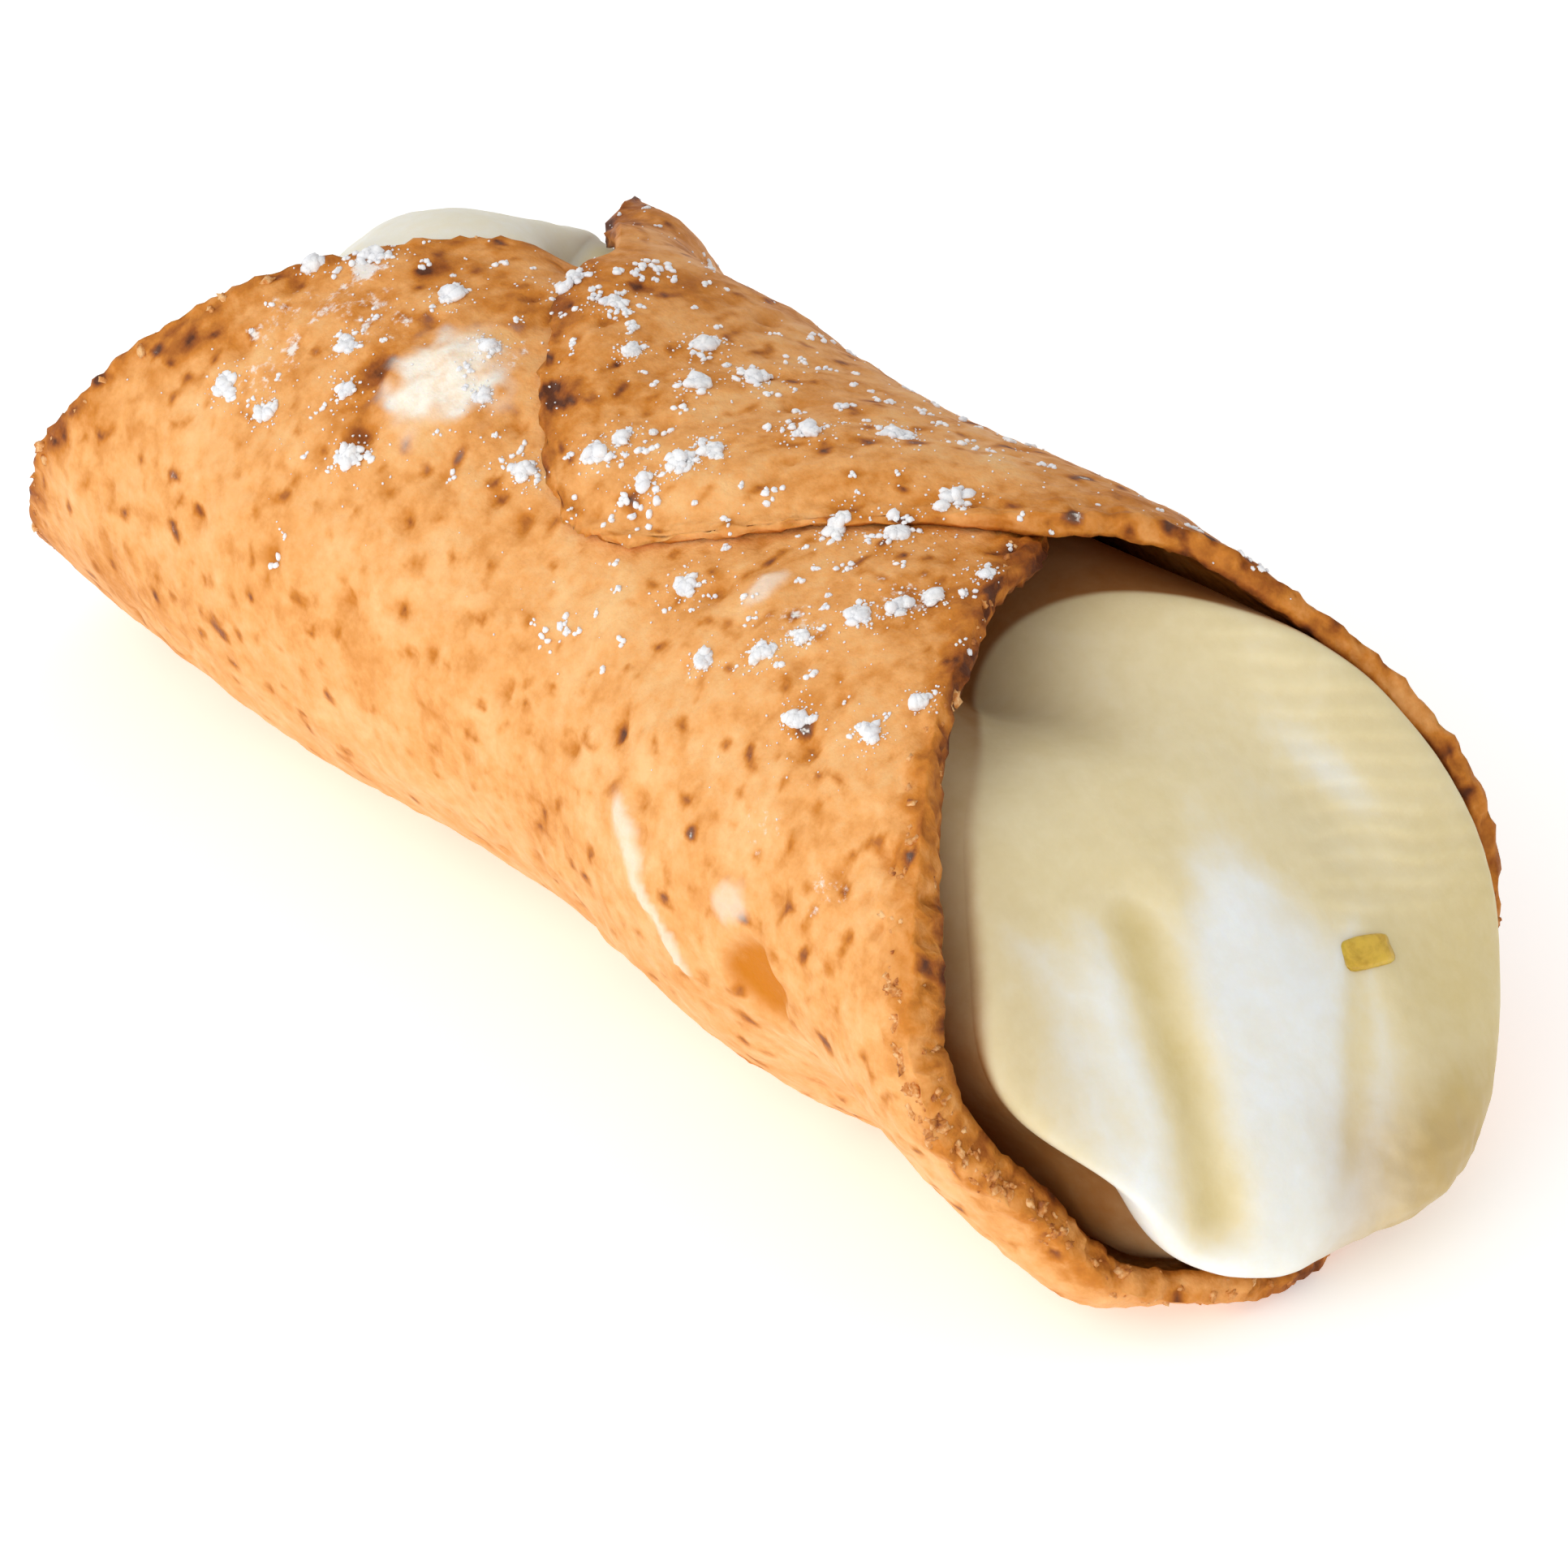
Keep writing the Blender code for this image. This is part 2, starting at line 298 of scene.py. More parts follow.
class Nodes:
    """Adds nodes to a material or a node group, and links them as it goes."""

    def __init__(self, tree):
        self.tree = tree

    def feed(self, node, inputs):
        """Links a node's inputs to results, or sets them to plain values."""
        for name, value in inputs.items():
            if isinstance(value, bpy.types.NodeSocket):
                self.tree.links.new(value, node.inputs[name])
            else:
                node.inputs[name].default_value = value
        return node

    def add(self, kind, inputs=None, **settings):
        """A node with its settings made and its inputs set or linked."""
        node = self.tree.nodes.new(kind)
        for name, value in settings.items():
            setattr(node, name, value)
        return self.feed(node, inputs or {})

    def math(self, operation, first, second=0.0):
        """One sum, product or the like."""
        return self.add("ShaderNodeMath", {0: first, 1: second}, operation=operation).outputs[0]

    def mark(self, name):
        """A number that the piece keeps on its vertices."""
        return self.add("ShaderNodeAttribute", attribute_name=name).outputs["Fac"]

    def step(self, value, start, end, low=0.0, high=1.0):
        """Low at the start, high at the end and smooth in between."""
        inputs = {"Value": value, "From Min": start, "From Max": end, "To Min": low, "To Max": high}
        return self.add("ShaderNodeMapRange", inputs, interpolation_type="SMOOTHSTEP").outputs[0]

    def mix(self, share, first, second):
        """A blend of two colours."""
        inputs = {0: share, 6: first, 7: second}
        return self.add("ShaderNodeMix", inputs, data_type="RGBA").outputs[2]

    def ramp(self, value, stops):
        """Colours along a scale, from (place, colour) pairs."""
        node = self.add("ShaderNodeValToRGB", {0: value})
        elements = node.color_ramp.elements
        while len(elements) < len(stops):
            elements.new(1.0)
        for element, (position, colour) in zip(elements, stops):
            element.position = position
            element.color = colour
        return node.outputs["Color"]

    def noise(self, vector, scale, detail, roughness, distortion=0.0):
        """A cloudy pattern between 0 and 1."""
        return self.add("ShaderNodeTexNoise", {
            "Vector": vector, "Scale": scale, "Detail": detail, "Roughness": roughness,
            "Distortion": distortion}).outputs[0]

    def speckle(self, patches, flecks, share):
        """The baked speckle with this piece's own values."""
        inputs = {"Patches": patches, "Flecks": flecks, "Fleck share": share}
        return self.add("ShaderNodeGroup", inputs, node_tree=speckle_group()).outputs["Mask"]

    def grain(self, coarse, fine, depth, strength):
        """The fine grain with this piece's own values."""
        inputs = {"Coarse": coarse, "Fine": fine, "Depth": depth, "Strength": strength}
        return self.add("ShaderNodeGroup", inputs, node_tree=grain_group()).outputs["Normal"]


def new_group(name, inputs, outputs):
    """A node group with its sockets, and the nodes that hold what is given and what is made."""
    group = bpy.data.node_groups.new(name, "ShaderNodeTree")
    for socket, default in inputs:
        made = group.interface.new_socket(name=socket, in_out="INPUT", socket_type="NodeSocketFloat")
        made.default_value = default
    for socket, kind in outputs:
        group.interface.new_socket(name=socket, in_out="OUTPUT", socket_type=kind)
    nodes = Nodes(group)
    return group, nodes, nodes.add("NodeGroupInput"), nodes.add("NodeGroupOutput")


def speckle_group():
    """Soft patches and small flecks, as in anything baked, mixed into one mask."""
    name = "baked_speckle"
    if name in bpy.data.node_groups:
        return bpy.data.node_groups[name]
    inputs = (("Patches", 200.0), ("Flecks", 900.0), ("Fleck share", 0.4))
    group, nodes, given, made = new_group(name, inputs, (("Mask", "NodeSocketFloat"),))
    place_on = nodes.add("ShaderNodeTexCoord").outputs["Object"]
    patches = nodes.noise(place_on, given.outputs["Patches"], 4.0, 0.6, 0.4)
    flecks = nodes.noise(place_on, given.outputs["Flecks"], 3.0, 0.65)
    share = given.outputs["Fleck share"]
    kept = nodes.math("MULTIPLY", patches, nodes.math("SUBTRACT", 1.0, share))
    mask = nodes.math("ADD", kept, nodes.math("MULTIPLY", flecks, share))
    nodes.tree.links.new(mask, made.inputs["Mask"])
    return group


def grain_group():
    """Fine unevenness of a surface, as a normal."""
    name = "fine_grain"
    if name in bpy.data.node_groups:
        return bpy.data.node_groups[name]
    inputs = (("Coarse", 900.0), ("Fine", 3200.0), ("Depth", 0.0002), ("Strength", 0.5))
    group, nodes, given, made = new_group(name, inputs, (("Normal", "NodeSocketVector"),))
    place_on = nodes.add("ShaderNodeTexCoord").outputs["Object"]
    coarse = nodes.noise(place_on, given.outputs["Coarse"], 3.0, 0.55)
    fine = nodes.noise(place_on, given.outputs["Fine"], 2.0, 0.5)
    height = nodes.math("ADD", coarse, nodes.math("MULTIPLY", fine, 0.35))
    normal = nodes.add("ShaderNodeBump", {
        "Height": height, "Distance": given.outputs["Depth"], "Strength": given.outputs["Strength"]})
    nodes.tree.links.new(normal.outputs[0], made.inputs["Normal"])
    return group


def new_material(name):
    """A material and its Principled shader, ready for nodes."""
    material = bpy.data.materials.new(name)
    material.use_nodes = True
    shader = material.node_tree.nodes["Principled BSDF"]
    return material, Nodes(material.node_tree), shader


def let_light_in(shader, weight, radius, depth):
    """Lets light into the surface: how much, how far each colour goes, and the depth in metres."""
    shader.inputs["Subsurface Weight"].default_value = weight
    shader.inputs["Subsurface Radius"].default_value = radius
    shader.inputs["Subsurface Scale"].default_value = depth


def dough_material(settings):
    """Fried dough: a scale of browned tones that also carries painted shade, with pits, blisters, browned
    rims, pale blotches and painted orange shade in a deep pit.
    """
    material, nodes, shader = new_material("fried_dough")
    speckle = nodes.speckle(190.0, 850.0, 0.42)
    # Browned tones with painted shade in them, from the piece's marks.
    browning_and_shade = nodes.math("ADD", nodes.mark("browning_and_shade"), nodes.step(speckle, 0.32, 0.68, -0.16, 0.16))
    crust = nodes.ramp(browning_and_shade, (
        (0.0, settings.pale), (0.28, settings.golden), (0.55, settings.amber),
        (0.80, settings.brown), (1.0, settings.burnt)))
    chalk = nodes.math("MULTIPLY", nodes.mark("pale"), nodes.step(speckle, 0.34, 0.56, 0.55, 1.0))
    crust = nodes.mix(chalk, crust, settings.blotch)
    # Painted shade and bounced light: the deep pit is saturated orange.
    pit_shading_mask = nodes.math("MULTIPLY", nodes.mark("pit_shading"), nodes.step(speckle, 0.25, 0.5, 0.7, 1.0))
    crust = nodes.mix(pit_shading_mask, crust, settings.pit_shade_colour)
    dust_grain = nodes.noise(nodes.add("ShaderNodeTexCoord").outputs["Object"], 1500.0, 4.0, 0.7)
    dust = nodes.step(nodes.math("ADD", dust_grain, nodes.mark("dusted")), 0.80, 1.05, 0.0, 0.85)
    crust = nodes.mix(dust, crust, settings.dust)
    nodes.feed(shader, {
        "Base Color": crust, "Normal": nodes.grain(800.0, 2600.0, 0.00028, 0.6),
        "Roughness": nodes.step(speckle, 0.3, 0.7, 0.44, 0.62), "Specular IOR Level": 0.12})
    let_light_in(shader, 0.12, (1.0, 0.45, 0.18), 0.0012)
    return material


def cream_material(settings):
    """Whipped ricotta: near white where it bulges, with buttery and dull yellow painted shade where it lies
    deeper, at the top, the sides and in the folds, and dark brown painted shade in the gap against the
    dough.
    """
    material, nodes, shader = new_material("ricotta_cream")
    speckle = nodes.speckle(130.0, 700.0, 0.3)
    # Painted shade: buttery and dull yellow tones where the cream lies deeper, at the top, at the sides and
    # in the folds.
    painted_shading = nodes.math("ADD", nodes.mark("painted_shading"), nodes.step(speckle, 0.3, 0.7, -0.09, 0.09))
    colour = nodes.ramp(painted_shading, ((0.0, settings.white), (0.5, settings.butter_shade), (0.9, settings.fold_shade)))
    # Painted shade: dark brown on the cream in the gap against the dough, and low down at the sides of the
    # dome.
    gap_shade = nodes.math("MULTIPLY", nodes.mark("gap_shade"), nodes.step(speckle, 0.3, 0.7, 0.85, 1.0))
    nodes.feed(shader, {
        "Base Color": nodes.mix(gap_shade, colour, settings.gap_shade),
        "Normal": nodes.grain(700.0, 2400.0, 0.00012, 0.35),
        "Roughness": nodes.step(speckle, 0.3, 0.7, 0.36, 0.5), "Specular IOR Level": 0.35})
    let_light_in(shader, 0.35, (1.0, 0.85, 0.55), 0.0022)
    return material


def sugar_material(settings):
    """Icing sugar: matt white, a little blue in its own shade."""
    material, nodes, shader = new_material("icing_sugar")
    lit = nodes.step(nodes.speckle(600.0, 2500.0, 0.5), 0.3, 0.7)
    nodes.feed(shader, {
        "Base Color": nodes.mix(lit, settings.shade, settings.white),
        "Normal": nodes.grain(2500.0, 6000.0, 0.00012, 0.6), "Roughness": 0.8})
    let_light_in(shader, 0.2, (1.0, 1.0, 1.0), 0.0006)
    return material


def crumb_material(settings):
    """Toasted crumbs, from pale yellow to brown."""
    material, nodes, shader = new_material("toasted_crumb")
    nodes.feed(shader, {
        "Base Color": nodes.ramp(nodes.speckle(1100.0, 2600.0, 0.3), (
            (0.36, settings.brown), (0.47, settings.amber), (0.60, settings.pale))),
        "Normal": nodes.grain(2500.0, 6000.0, 0.0001, 0.6), "Roughness": 0.6})
    return material


def peel_material(settings):
    """A bit of candied peel, glossy and half clear."""
    material, nodes, shader = new_material("candied_peel")
    clear = nodes.step(nodes.speckle(500.0, 1800.0, 0.3), 0.35, 0.6)
    nodes.feed(shader, {
        "Base Color": nodes.mix(clear, settings.peel_dark, settings.peel),
        "Normal": nodes.grain(1200.0, 3000.0, 0.0001, 0.4), "Roughness": 0.28})
    let_light_in(shader, 0.5, (1.0, 0.6, 0.1), 0.0012)
    return material


# ---------------------------------------------------------------- the dough

# Marks on the dough, each with its x and its turn first
SCORCHES = (                           # browned patches: x, turn, radius
    (-36.6, -121.0, 2.3), (-38.5, -116.0, 1.5), (-28.0, -155.5, 2.2), (-24.2, -159.0, 2.4),
    (-19.8, -158.0, 2.5), (-22.6, -131.0, 1.5), (-20.3, -119.8, 1.0), (-9.0, 212.0, 1.5),
    (33.0, -104.0, 0.6), (36.0, -99.0, 0.7), (39.0, -103.0, 0.6), (41.0, -96.0, 0.7),
    (37.0, -93.0, 0.6), (40.0, -89.0, 0.7), (34.5, -96.0, 0.5), (35.0, -68.0, 0.7),
    (34.5, -84.0, 0.6))
SMEARS = (                             # thin white smears of sugar: x, turn, radius
    (-30.5, -121.0, 3.4), (-33.0, -131.0, 3.0), (-29.6, -141.0, 3.2), (-31.5, -150.0, 2.4),
    (-25.0, -140.0, 2.6), (-15.5, -150.0, 2.0), (22.0, -136.0, 3.0), (26.0, -150.0, 2.6),
    (37.5, -101.0, 2.6), (30.0, -104.0, 2.4))
PITS = (                               # pricked hollows: x, turn
    (-22.0, -92.0), (-14.5, -92.0), (-12.5, -112.0), (-9.5, -97.0), (-12.0, -123.0), (-4.0, -124.0),
    (-6.0, -92.0), (1.5, -94.0), (10.0, -93.0), (18.5, -94.0), (30.0, -119.0), (14.0, -133.0),
    (-30.5, -90.0), (38.0, -104.0), (-19.5, -121.0), (-34.0, -122.0))
BLISTER = (-17.5, -137.8, 3.8)         # a big pale one: x, turn, radius
BLISTER_HOLLOW = (-21.5, -130.0, 2.2)  # the hollow beside it
CRACK = ((17.0, -89.0), (25.0, -66.0))  # a pale ridge from one place to another
DEEP_PIT = (32.0, -74.0, 2.6)         # a deep pit, painted saturated orange as its shade and bounced light: x, turn, radius
DEEP_PIT_BUMP = (29.5, -88.0, 1.5)        # the pale bump above it
RIDGE = (17.1, -137.2, 1.2)            # a pale bump near the flap
# Where the dough lies further out or in, the last one at the mouth and the rest at the flap's
# crest: amount, x, reach along, turn, reach round
RIM_CHANGES = (
    (-2.6, -19.5, 5.5, 150.0, 16.0), (0.5, -27.5, 3.0, 156.0, 8.0), (-3.0, -30.5, 5.0, 167.0, 10.0),
    (-1.0, -22.5, 4.0, 183.0, 9.0), (-0.8, 36.0, 9.0, 150.0, 18.0))
SCORCH_DEPTH = 0.34                    # how much browner a scorch is
SMEAR_DEPTH = 0.27                     # how much whiter a smear is
PIT_RADIUS = 0.85


def on_sheet(x, turn):
    """A place on the sheet as if it lay flat, in millimetres."""
    return np.stack(np.broadcast_arrays(x, np.radians(turn) * ARC_RADIUS), axis=-1)


def round_mark(flat, x, turn, radius, stretch=1.0):
    """1 at a place on the sheet and 0 well outside a radius, stretched round the roll."""
    away = flat - on_sheet(x, turn)
    return np.exp(-((away[:, 0] ** 2 + (away[:, 1] / stretch) ** 2) / radius ** 2))


def line_mark(flat, start, end, width):
    """1 along a line between two places on the sheet."""
    first, last = on_sheet(*start), on_sheet(*end)
    way = last - first
    share = np.clip(((flat - first) @ way) / (way @ way), 0.0, 1.0)
    away = np.linalg.norm(flat - first - share[:, None] * way, axis=1)
    return fade(away, width * (1.3 - 0.9 * share))


def scattered(flat, count, seed, smallest, largest, keep_off=0.0):
    """Marks of random size strewn over the sheet, sharper than a bell at their edges."""
    chance = np.random.default_rng(seed)
    total = np.zeros(len(flat))
    for _ in range(count):
        turn = chance.uniform(-INNER_TURN, FLAP_TURN)
        room = float(half_length(np.array(turn))) - keep_off
        x = chance.uniform(-1.0, 1.0) * max(room, 1.0)
        radius = chance.uniform(smallest, largest)
        strength = chance.uniform(0.5, 1.0)
        near = np.abs(flat[:, 0] - x) < 3.0 * radius
        total[near] = np.maximum(total[near], strength * round_mark(flat[near], x, turn, radius, 1.15))
    return total


def patchy(mark, points, low=0.25, high=0.7):
    """A mark with an uneven outline in place of its soft one."""
    return smooth_step(mark + 0.34 * soft_noise(points, 1.3, 18), low, high)


def pushed(x, turn):
    """How much further out or in the dough lies than the smooth roll."""
    lift = np.zeros_like(x)
    for amount, middle, reach, middle_turn, turn_reach in RIM_CHANGES:
        lift += amount * fade(x - middle, reach) * bump(turn, middle_turn, turn_reach)
    return lift


def edge_distance(x, turn):
    """How far in from the sheet's edge a place is, in millimetres."""
    step = 1.0
    slope = (half_length(np.abs(turn) + step) - half_length(np.abs(turn) - step))
    slope = slope / (2.0 * math.radians(step) * ARC_RADIUS)
    to_side = (half_length(turn) - np.abs(x)) / np.sqrt(1.0 + slope ** 2)
    last_turn = FLAP_TURN - FLAP_CORNER_CUT
    to_end = np.minimum(last_turn - turn, turn + INNER_TURN) * math.radians(1.0) * ARC_RADIUS
    return np.minimum(to_side, to_end)


def ragged_edge(turn, end):
    """How much longer or shorter the sheet is at its edge."""
    line = np.stack([np.radians(turn) * ARC_RADIUS, np.full_like(turn, 31.0 * end), turn * 0.0], axis=-1)
    ragged = uneven(line, (0.55, 7.0, 0), (0.30, 2.4, 1), (0.12, 0.9, 2))
    for reach in MOUTH_RIM_REACHES if end > 0 else TAIL_RIM_REACHES:
        ragged = ragged + spot(turn, reach)
    return ragged


def roll_up_sheet(piece):
    """Turns the flat square grid into the rolled sheet, with no thickness yet."""
    flat = read_points(piece) * MM
    along = 1.12 * flat[:, 0] - 0.12 * flat[:, 0] ** 3
    whole_turn = INNER_TURN + FLAP_TURN - FLAP_CORNER_CUT
    turn = -INNER_TURN + 0.5 * (flat[:, 1] + 1.0) * whole_turn
    ragged = np.where(along > 0, ragged_edge(turn, 1), ragged_edge(turn, -1)) * np.abs(along) ** 6
    x = along * np.maximum(half_length(turn) + ragged, 0.6) + SKEW * turn / 180.0
    write_points(piece, dough_point(x, turn))
    write_mark(piece, "x", x)
    write_mark(piece, "turn", turn)


def select_in_edit_mode(piece, edges=None, faces=None):
    """Goes into edit mode with only these edges or faces selected, by a test on each."""
    bpy.ops.object.mode_set(mode="EDIT")
    bpy.ops.mesh.select_mode(type="EDGE" if edges else "FACE")
    bpy.ops.mesh.select_all(action="DESELECT")
    mesh = bmesh.from_edit_mesh(piece.data)
    for item in mesh.edges if edges else mesh.faces:
        if (edges or faces)(item, mesh):
            item.select_set(True)
    mesh.select_flush_mode()
    bmesh.update_edit_mesh(piece.data)


def thicken_sheet(piece, settings):
    """Gives the sheet its thickness, cuts its edge finely and thins out what the cream hides."""
    sheet_points = len(piece.data.vertices)
    apply_modifier(piece, "SOLIDIFY", thickness=settings.wall, offset=-1.0, use_even_offset=True)
    depth = np.zeros(len(piece.data.vertices))
    depth[sheet_points:] = 1.0
    write_mark(piece, "depth", depth)

    def across_edge(edge, mesh):
        layer = mesh.verts.layers.float["depth"]
        return abs(edge.verts[0][layer] - edge.verts[1][layer]) > 0.5

    select_in_edit_mode(piece, edges=across_edge)
    bpy.ops.mesh.subdivide(number_cuts=RIM_CUTS)
    bpy.ops.object.mode_set(mode="OBJECT")
    inside = edge_distance(read_mark(piece, "x"), read_mark(piece, "turn"))
    inside = (inside > HIDDEN_FROM_EDGE) & (read_mark(piece, "depth") > 0.99)

    def hidden_face(face, mesh):
        return all(inside[vertex.index] for vertex in face.verts)

    select_in_edit_mode(piece, faces=hidden_face)
    bpy.ops.mesh.decimate(ratio=HIDDEN_SHARE)
    bpy.ops.object.mode_set(mode="OBJECT")


def dough_relief(points, flat, x, turn, edge):
    """Height of the outside over the smooth dough, in millimetres, and its marks."""
    pits = scattered(flat, 170, 5, 0.45, 0.85, 1.0)
    for pit_x, pit_turn in PITS:
        pits = np.maximum(pits, round_mark(flat, pit_x, pit_turn, PIT_RADIUS, 1.25))
    warped = flat + 0.7 * np.stack([soft_noise(points, 2.2, 3), soft_noise(points, 2.2, 4)], axis=1)
    blisters = scattered(warped, 95, 11, 1.1, 3.0, 2.0)
    big = round_mark(warped, *BLISTER, 1.1)
    hollow = round_mark(warped, *BLISTER_HOLLOW, 1.9) * (1.0 - smooth_step(big, 0.15, 0.5))
    crack = line_mark(warped, *CRACK, 0.95)
    deep_pit = smooth_step(round_mark(warped, *DEEP_PIT, 1.3), 0.18, 0.6)
    deep_pit_bump = round_mark(warped, *DEEP_PIT_BUMP, 1.0)
    ridge = round_mark(warped, *RIDGE, 1.5)
    height = uneven(points, (0.13, 3.1, 27), (0.12, 1.5, 5), (0.06, 0.75, 6))
    height += 0.34 * blisters ** 0.8 - 0.46 * pits
    height += (0.75 + 0.3 * soft_noise(points, 1.4, 28)) * big ** 0.6 - 0.45 * hollow
    height += (0.28 + 0.3 * soft_noise(points, 1.2, 29)) * crack
    height += 0.3 * deep_pit_bump + 0.4 * ridge - 0.75 * deep_pit
    rough = fade(edge, 3.0) * (x > 0.0) * (1.0 - smooth_step(turn, 100.0, 150.0))
    height += rough * uneven(points, (0.34, 1.25, 19), (0.22, 0.7, 31))
    chalk = np.maximum.reduce([
        0.88 * patchy(big, points, 0.2, 0.7), 0.55 * patchy(crack, points, 0.15, 0.8),
        0.42 * patchy(deep_pit_bump, points), 0.5 * patchy(ridge, points)])
    # The deep pit's mark, kept as clear, carries its painted orange shade and bounced light.
    marks = {"pits": pits, "blisters": blisters, "clear": deep_pit, "hollow": hollow, "chalk": chalk}
    return height, marks


def flap_thinning(turn, edge):
    """How much thinner the flap is towards its edge, where it was pressed on, in millimetres."""
    return 1.25 * smooth_step(turn, 178.0, 200.0) * fade(edge, 2.6)


def rim_bead(turn, edge, end):
    """How much thicker the dough is at the near side of the mouth's rim, in millimetres."""
    return 1.15 * bump(turn, -75.0, 55.0) * fade(edge, 2.2) * (end > 0)


def broad_waves(points):
    """Slow waves that all the layers share, so that they never cut through each other."""
    return uneven(points, (0.34, 13.0, 7), (0.13, 5.0, 8))


def browning_and_shade_of(points, flat, x, turn, edge, depth, marks):
    """How browned each place is, from 0 to 1, with painted shade in it: darker on the top, the far side and
    the flap's crest (less in the flap's lit middle), under the flap's edge near the mouth, in the pits and
    on the inside of the roll.
    """
    # Painted shade: the top and the far side are darker, the lit middle of the flap less so.
    top = smooth_step(points[:, 2], 20.0, 38.0)
    far = smooth_step(turn, 60.0, 165.0)
    lit_middle = bump(turn, 214.0, 16.0) * fade(x - 3.0, 12.0)
    tone = 0.20 + 0.06 * top + 0.13 * far * (1.0 - 0.7 * lit_middle)
    tone += 0.10 * smooth_step(-x, 26.0, 48.0) - 0.10 * smooth_step(-points[:, 2], -14.0, -4.0)
    # Partly painted shade: darker under the flap's edge near the mouth, where small brown pits lie too.
    tone += 0.16 * smooth_step(x, 12.0, 32.0) * smooth_step(-turn, 122.0, 150.0)
    tone += uneven(points, (0.15, 8.0, 9), (0.13, 2.6, 10), (0.09, 1.1, 32))
    tone += 0.20 * smooth_step(x, 18.0, 34.0) * bump(turn, 152.0, 26.0)
    # Painted shade: the flap's crest is darker.
    tone += 0.09 * bump(turn, 172.0, 28.0) * smooth_step(-x, 2.0, 14.0)
    # Painted shade: darker in the pits and in the hollow beside the big blister.
    tone += 0.30 * marks["pits"] ** 1.2 + 0.34 * marks["hollow"]
    tone -= 0.10 * marks["blisters"]
    for scorch in SCORCHES:
        tone += SCORCH_DEPTH * patchy(round_mark(flat, *scorch), points, 0.05, 1.0)
    rim_noise = 0.5 + 0.5 * soft_noise(points, 1.6, 11)
    mouth = smooth_step(x, -5.0, 5.0)
    spared = mouth * smooth_step(turn, 95.0, 140.0)
    browned = (0.17 + 0.25 * rim_noise) * (1.0 - 0.8 * spared)
    browned *= 1.0 - 0.5 * smooth_step(turn, 165.0, 185.0)
    tone += fade(edge, 0.9 + 1.5 * rim_noise) * browned
    tone += 0.10 * fade(edge, 6.0) * smooth_step(turn, 175.0, 195.0) * (1.0 - mouth)
    tone += 0.35 * fade(edge, 3.0) * mouth * bump(turn, 16.0, 16.0)
    # Less browned just outside the near side of the lip, and partly painted light where the lip shades the
    # dough.
    tone -= 0.15 * fade(edge, 3.0) * mouth * bump(turn, -82.0, 14.0)
    on_rim = np.minimum(depth, 1.0 - depth) * 2.0
    broken = on_rim * (0.03 + 0.12 * depth + 0.40 * soft_noise(points, 0.9, 12))
    tone += broken * (1.0 - spared) * (1.0 - smooth_step(turn, 165.0, 185.0))
    # Painted shade: the inside of the roll is darker.
    tone = np.where(depth > 0.9, tone + 0.26, tone)
    return np.clip(tone, 0.0, 1.0)


def shape_dough(piece):
    """Gives the rolled sheet its blisters, pits, ragged rim and waves, and marks what is where."""
    points = read_points(piece)
    x, turn, depth = (read_mark(piece, name) for name in ("x", "turn", "depth"))
    flat = on_sheet(x, turn)
    edge = np.maximum(edge_distance(x, turn), 0.0)
    outwards = dough_outwards(x, turn)
    height, marks = dough_relief(points, flat, x, turn, edge)
    underside = 1.0 - smooth_step(points[:, 2], 0.0, 1.6)
    outside = (1.0 - depth) * (1.0 - underside)
    lift = height * outside + broad_waves(points) * (1.0 - underside)
    lift -= flap_thinning(turn, edge) * (1.0 - depth)
    lift += 0.08 * soft_noise(points, 1.3, 13) * smooth_step(depth, 0.9, 1.0)
    lift += pushed(x, turn)
    moved = points + outwards * lift[:, None]
    normals = np.empty(len(points) * 3)
    piece.data.vertices.foreach_get("normal", normals)
    on_rim = np.minimum(depth, 1.0 - depth) * 2.0
    crumbly = uneven(points, (0.34, 1.2, 14), (0.30, 0.6, 15))
    bead = rim_bead(turn, edge, x)
    moved -= outwards * (bead * depth)[:, None]
    rim_push = on_rim * (0.25 + crumbly * (1.0 + bead)) + fade(edge, 0.7) * crumbly * 0.7
    moved += normals.reshape(-1, 3) * rim_push[:, None]
    moved[:, 2] = np.maximum(moved[:, 2], 0.0)
    write_points(piece, moved)
    dusted = 0.02 * sugar_density(points)
    for smear in SMEARS:
        dusted += SMEAR_DEPTH * patchy(round_mark(flat, *smear), points, 0.1, 0.9)
    write_mark(piece, "browning_and_shade", browning_and_shade_of(points, flat, x, turn, edge, depth, marks))
    write_mark(piece, "pale", marks["chalk"] * (depth < 0.5))
    # Painted orange shade and bounced light in the deep pit.
    write_mark(piece, "pit_shading", marks["clear"] * (depth < 0.5))
    write_mark(piece, "dusted", dusted * (depth < 0.5))
    for name in ("x", "turn", "depth"):
        piece.data.attributes.remove(piece.data.attributes[name])


def sugar_density(points):
    """How much sugar fell on a place, from 0 to 1: it lies on the upper half, off both ends."""
    up = smooth_step(points[:, 2], 24.0, 36.0)
    return up * plateau(points[:, 0], -44.0, -32.0, 30.0, 42.0) * (0.75 + 0.5 * soft_noise(points, 8.0, 16))


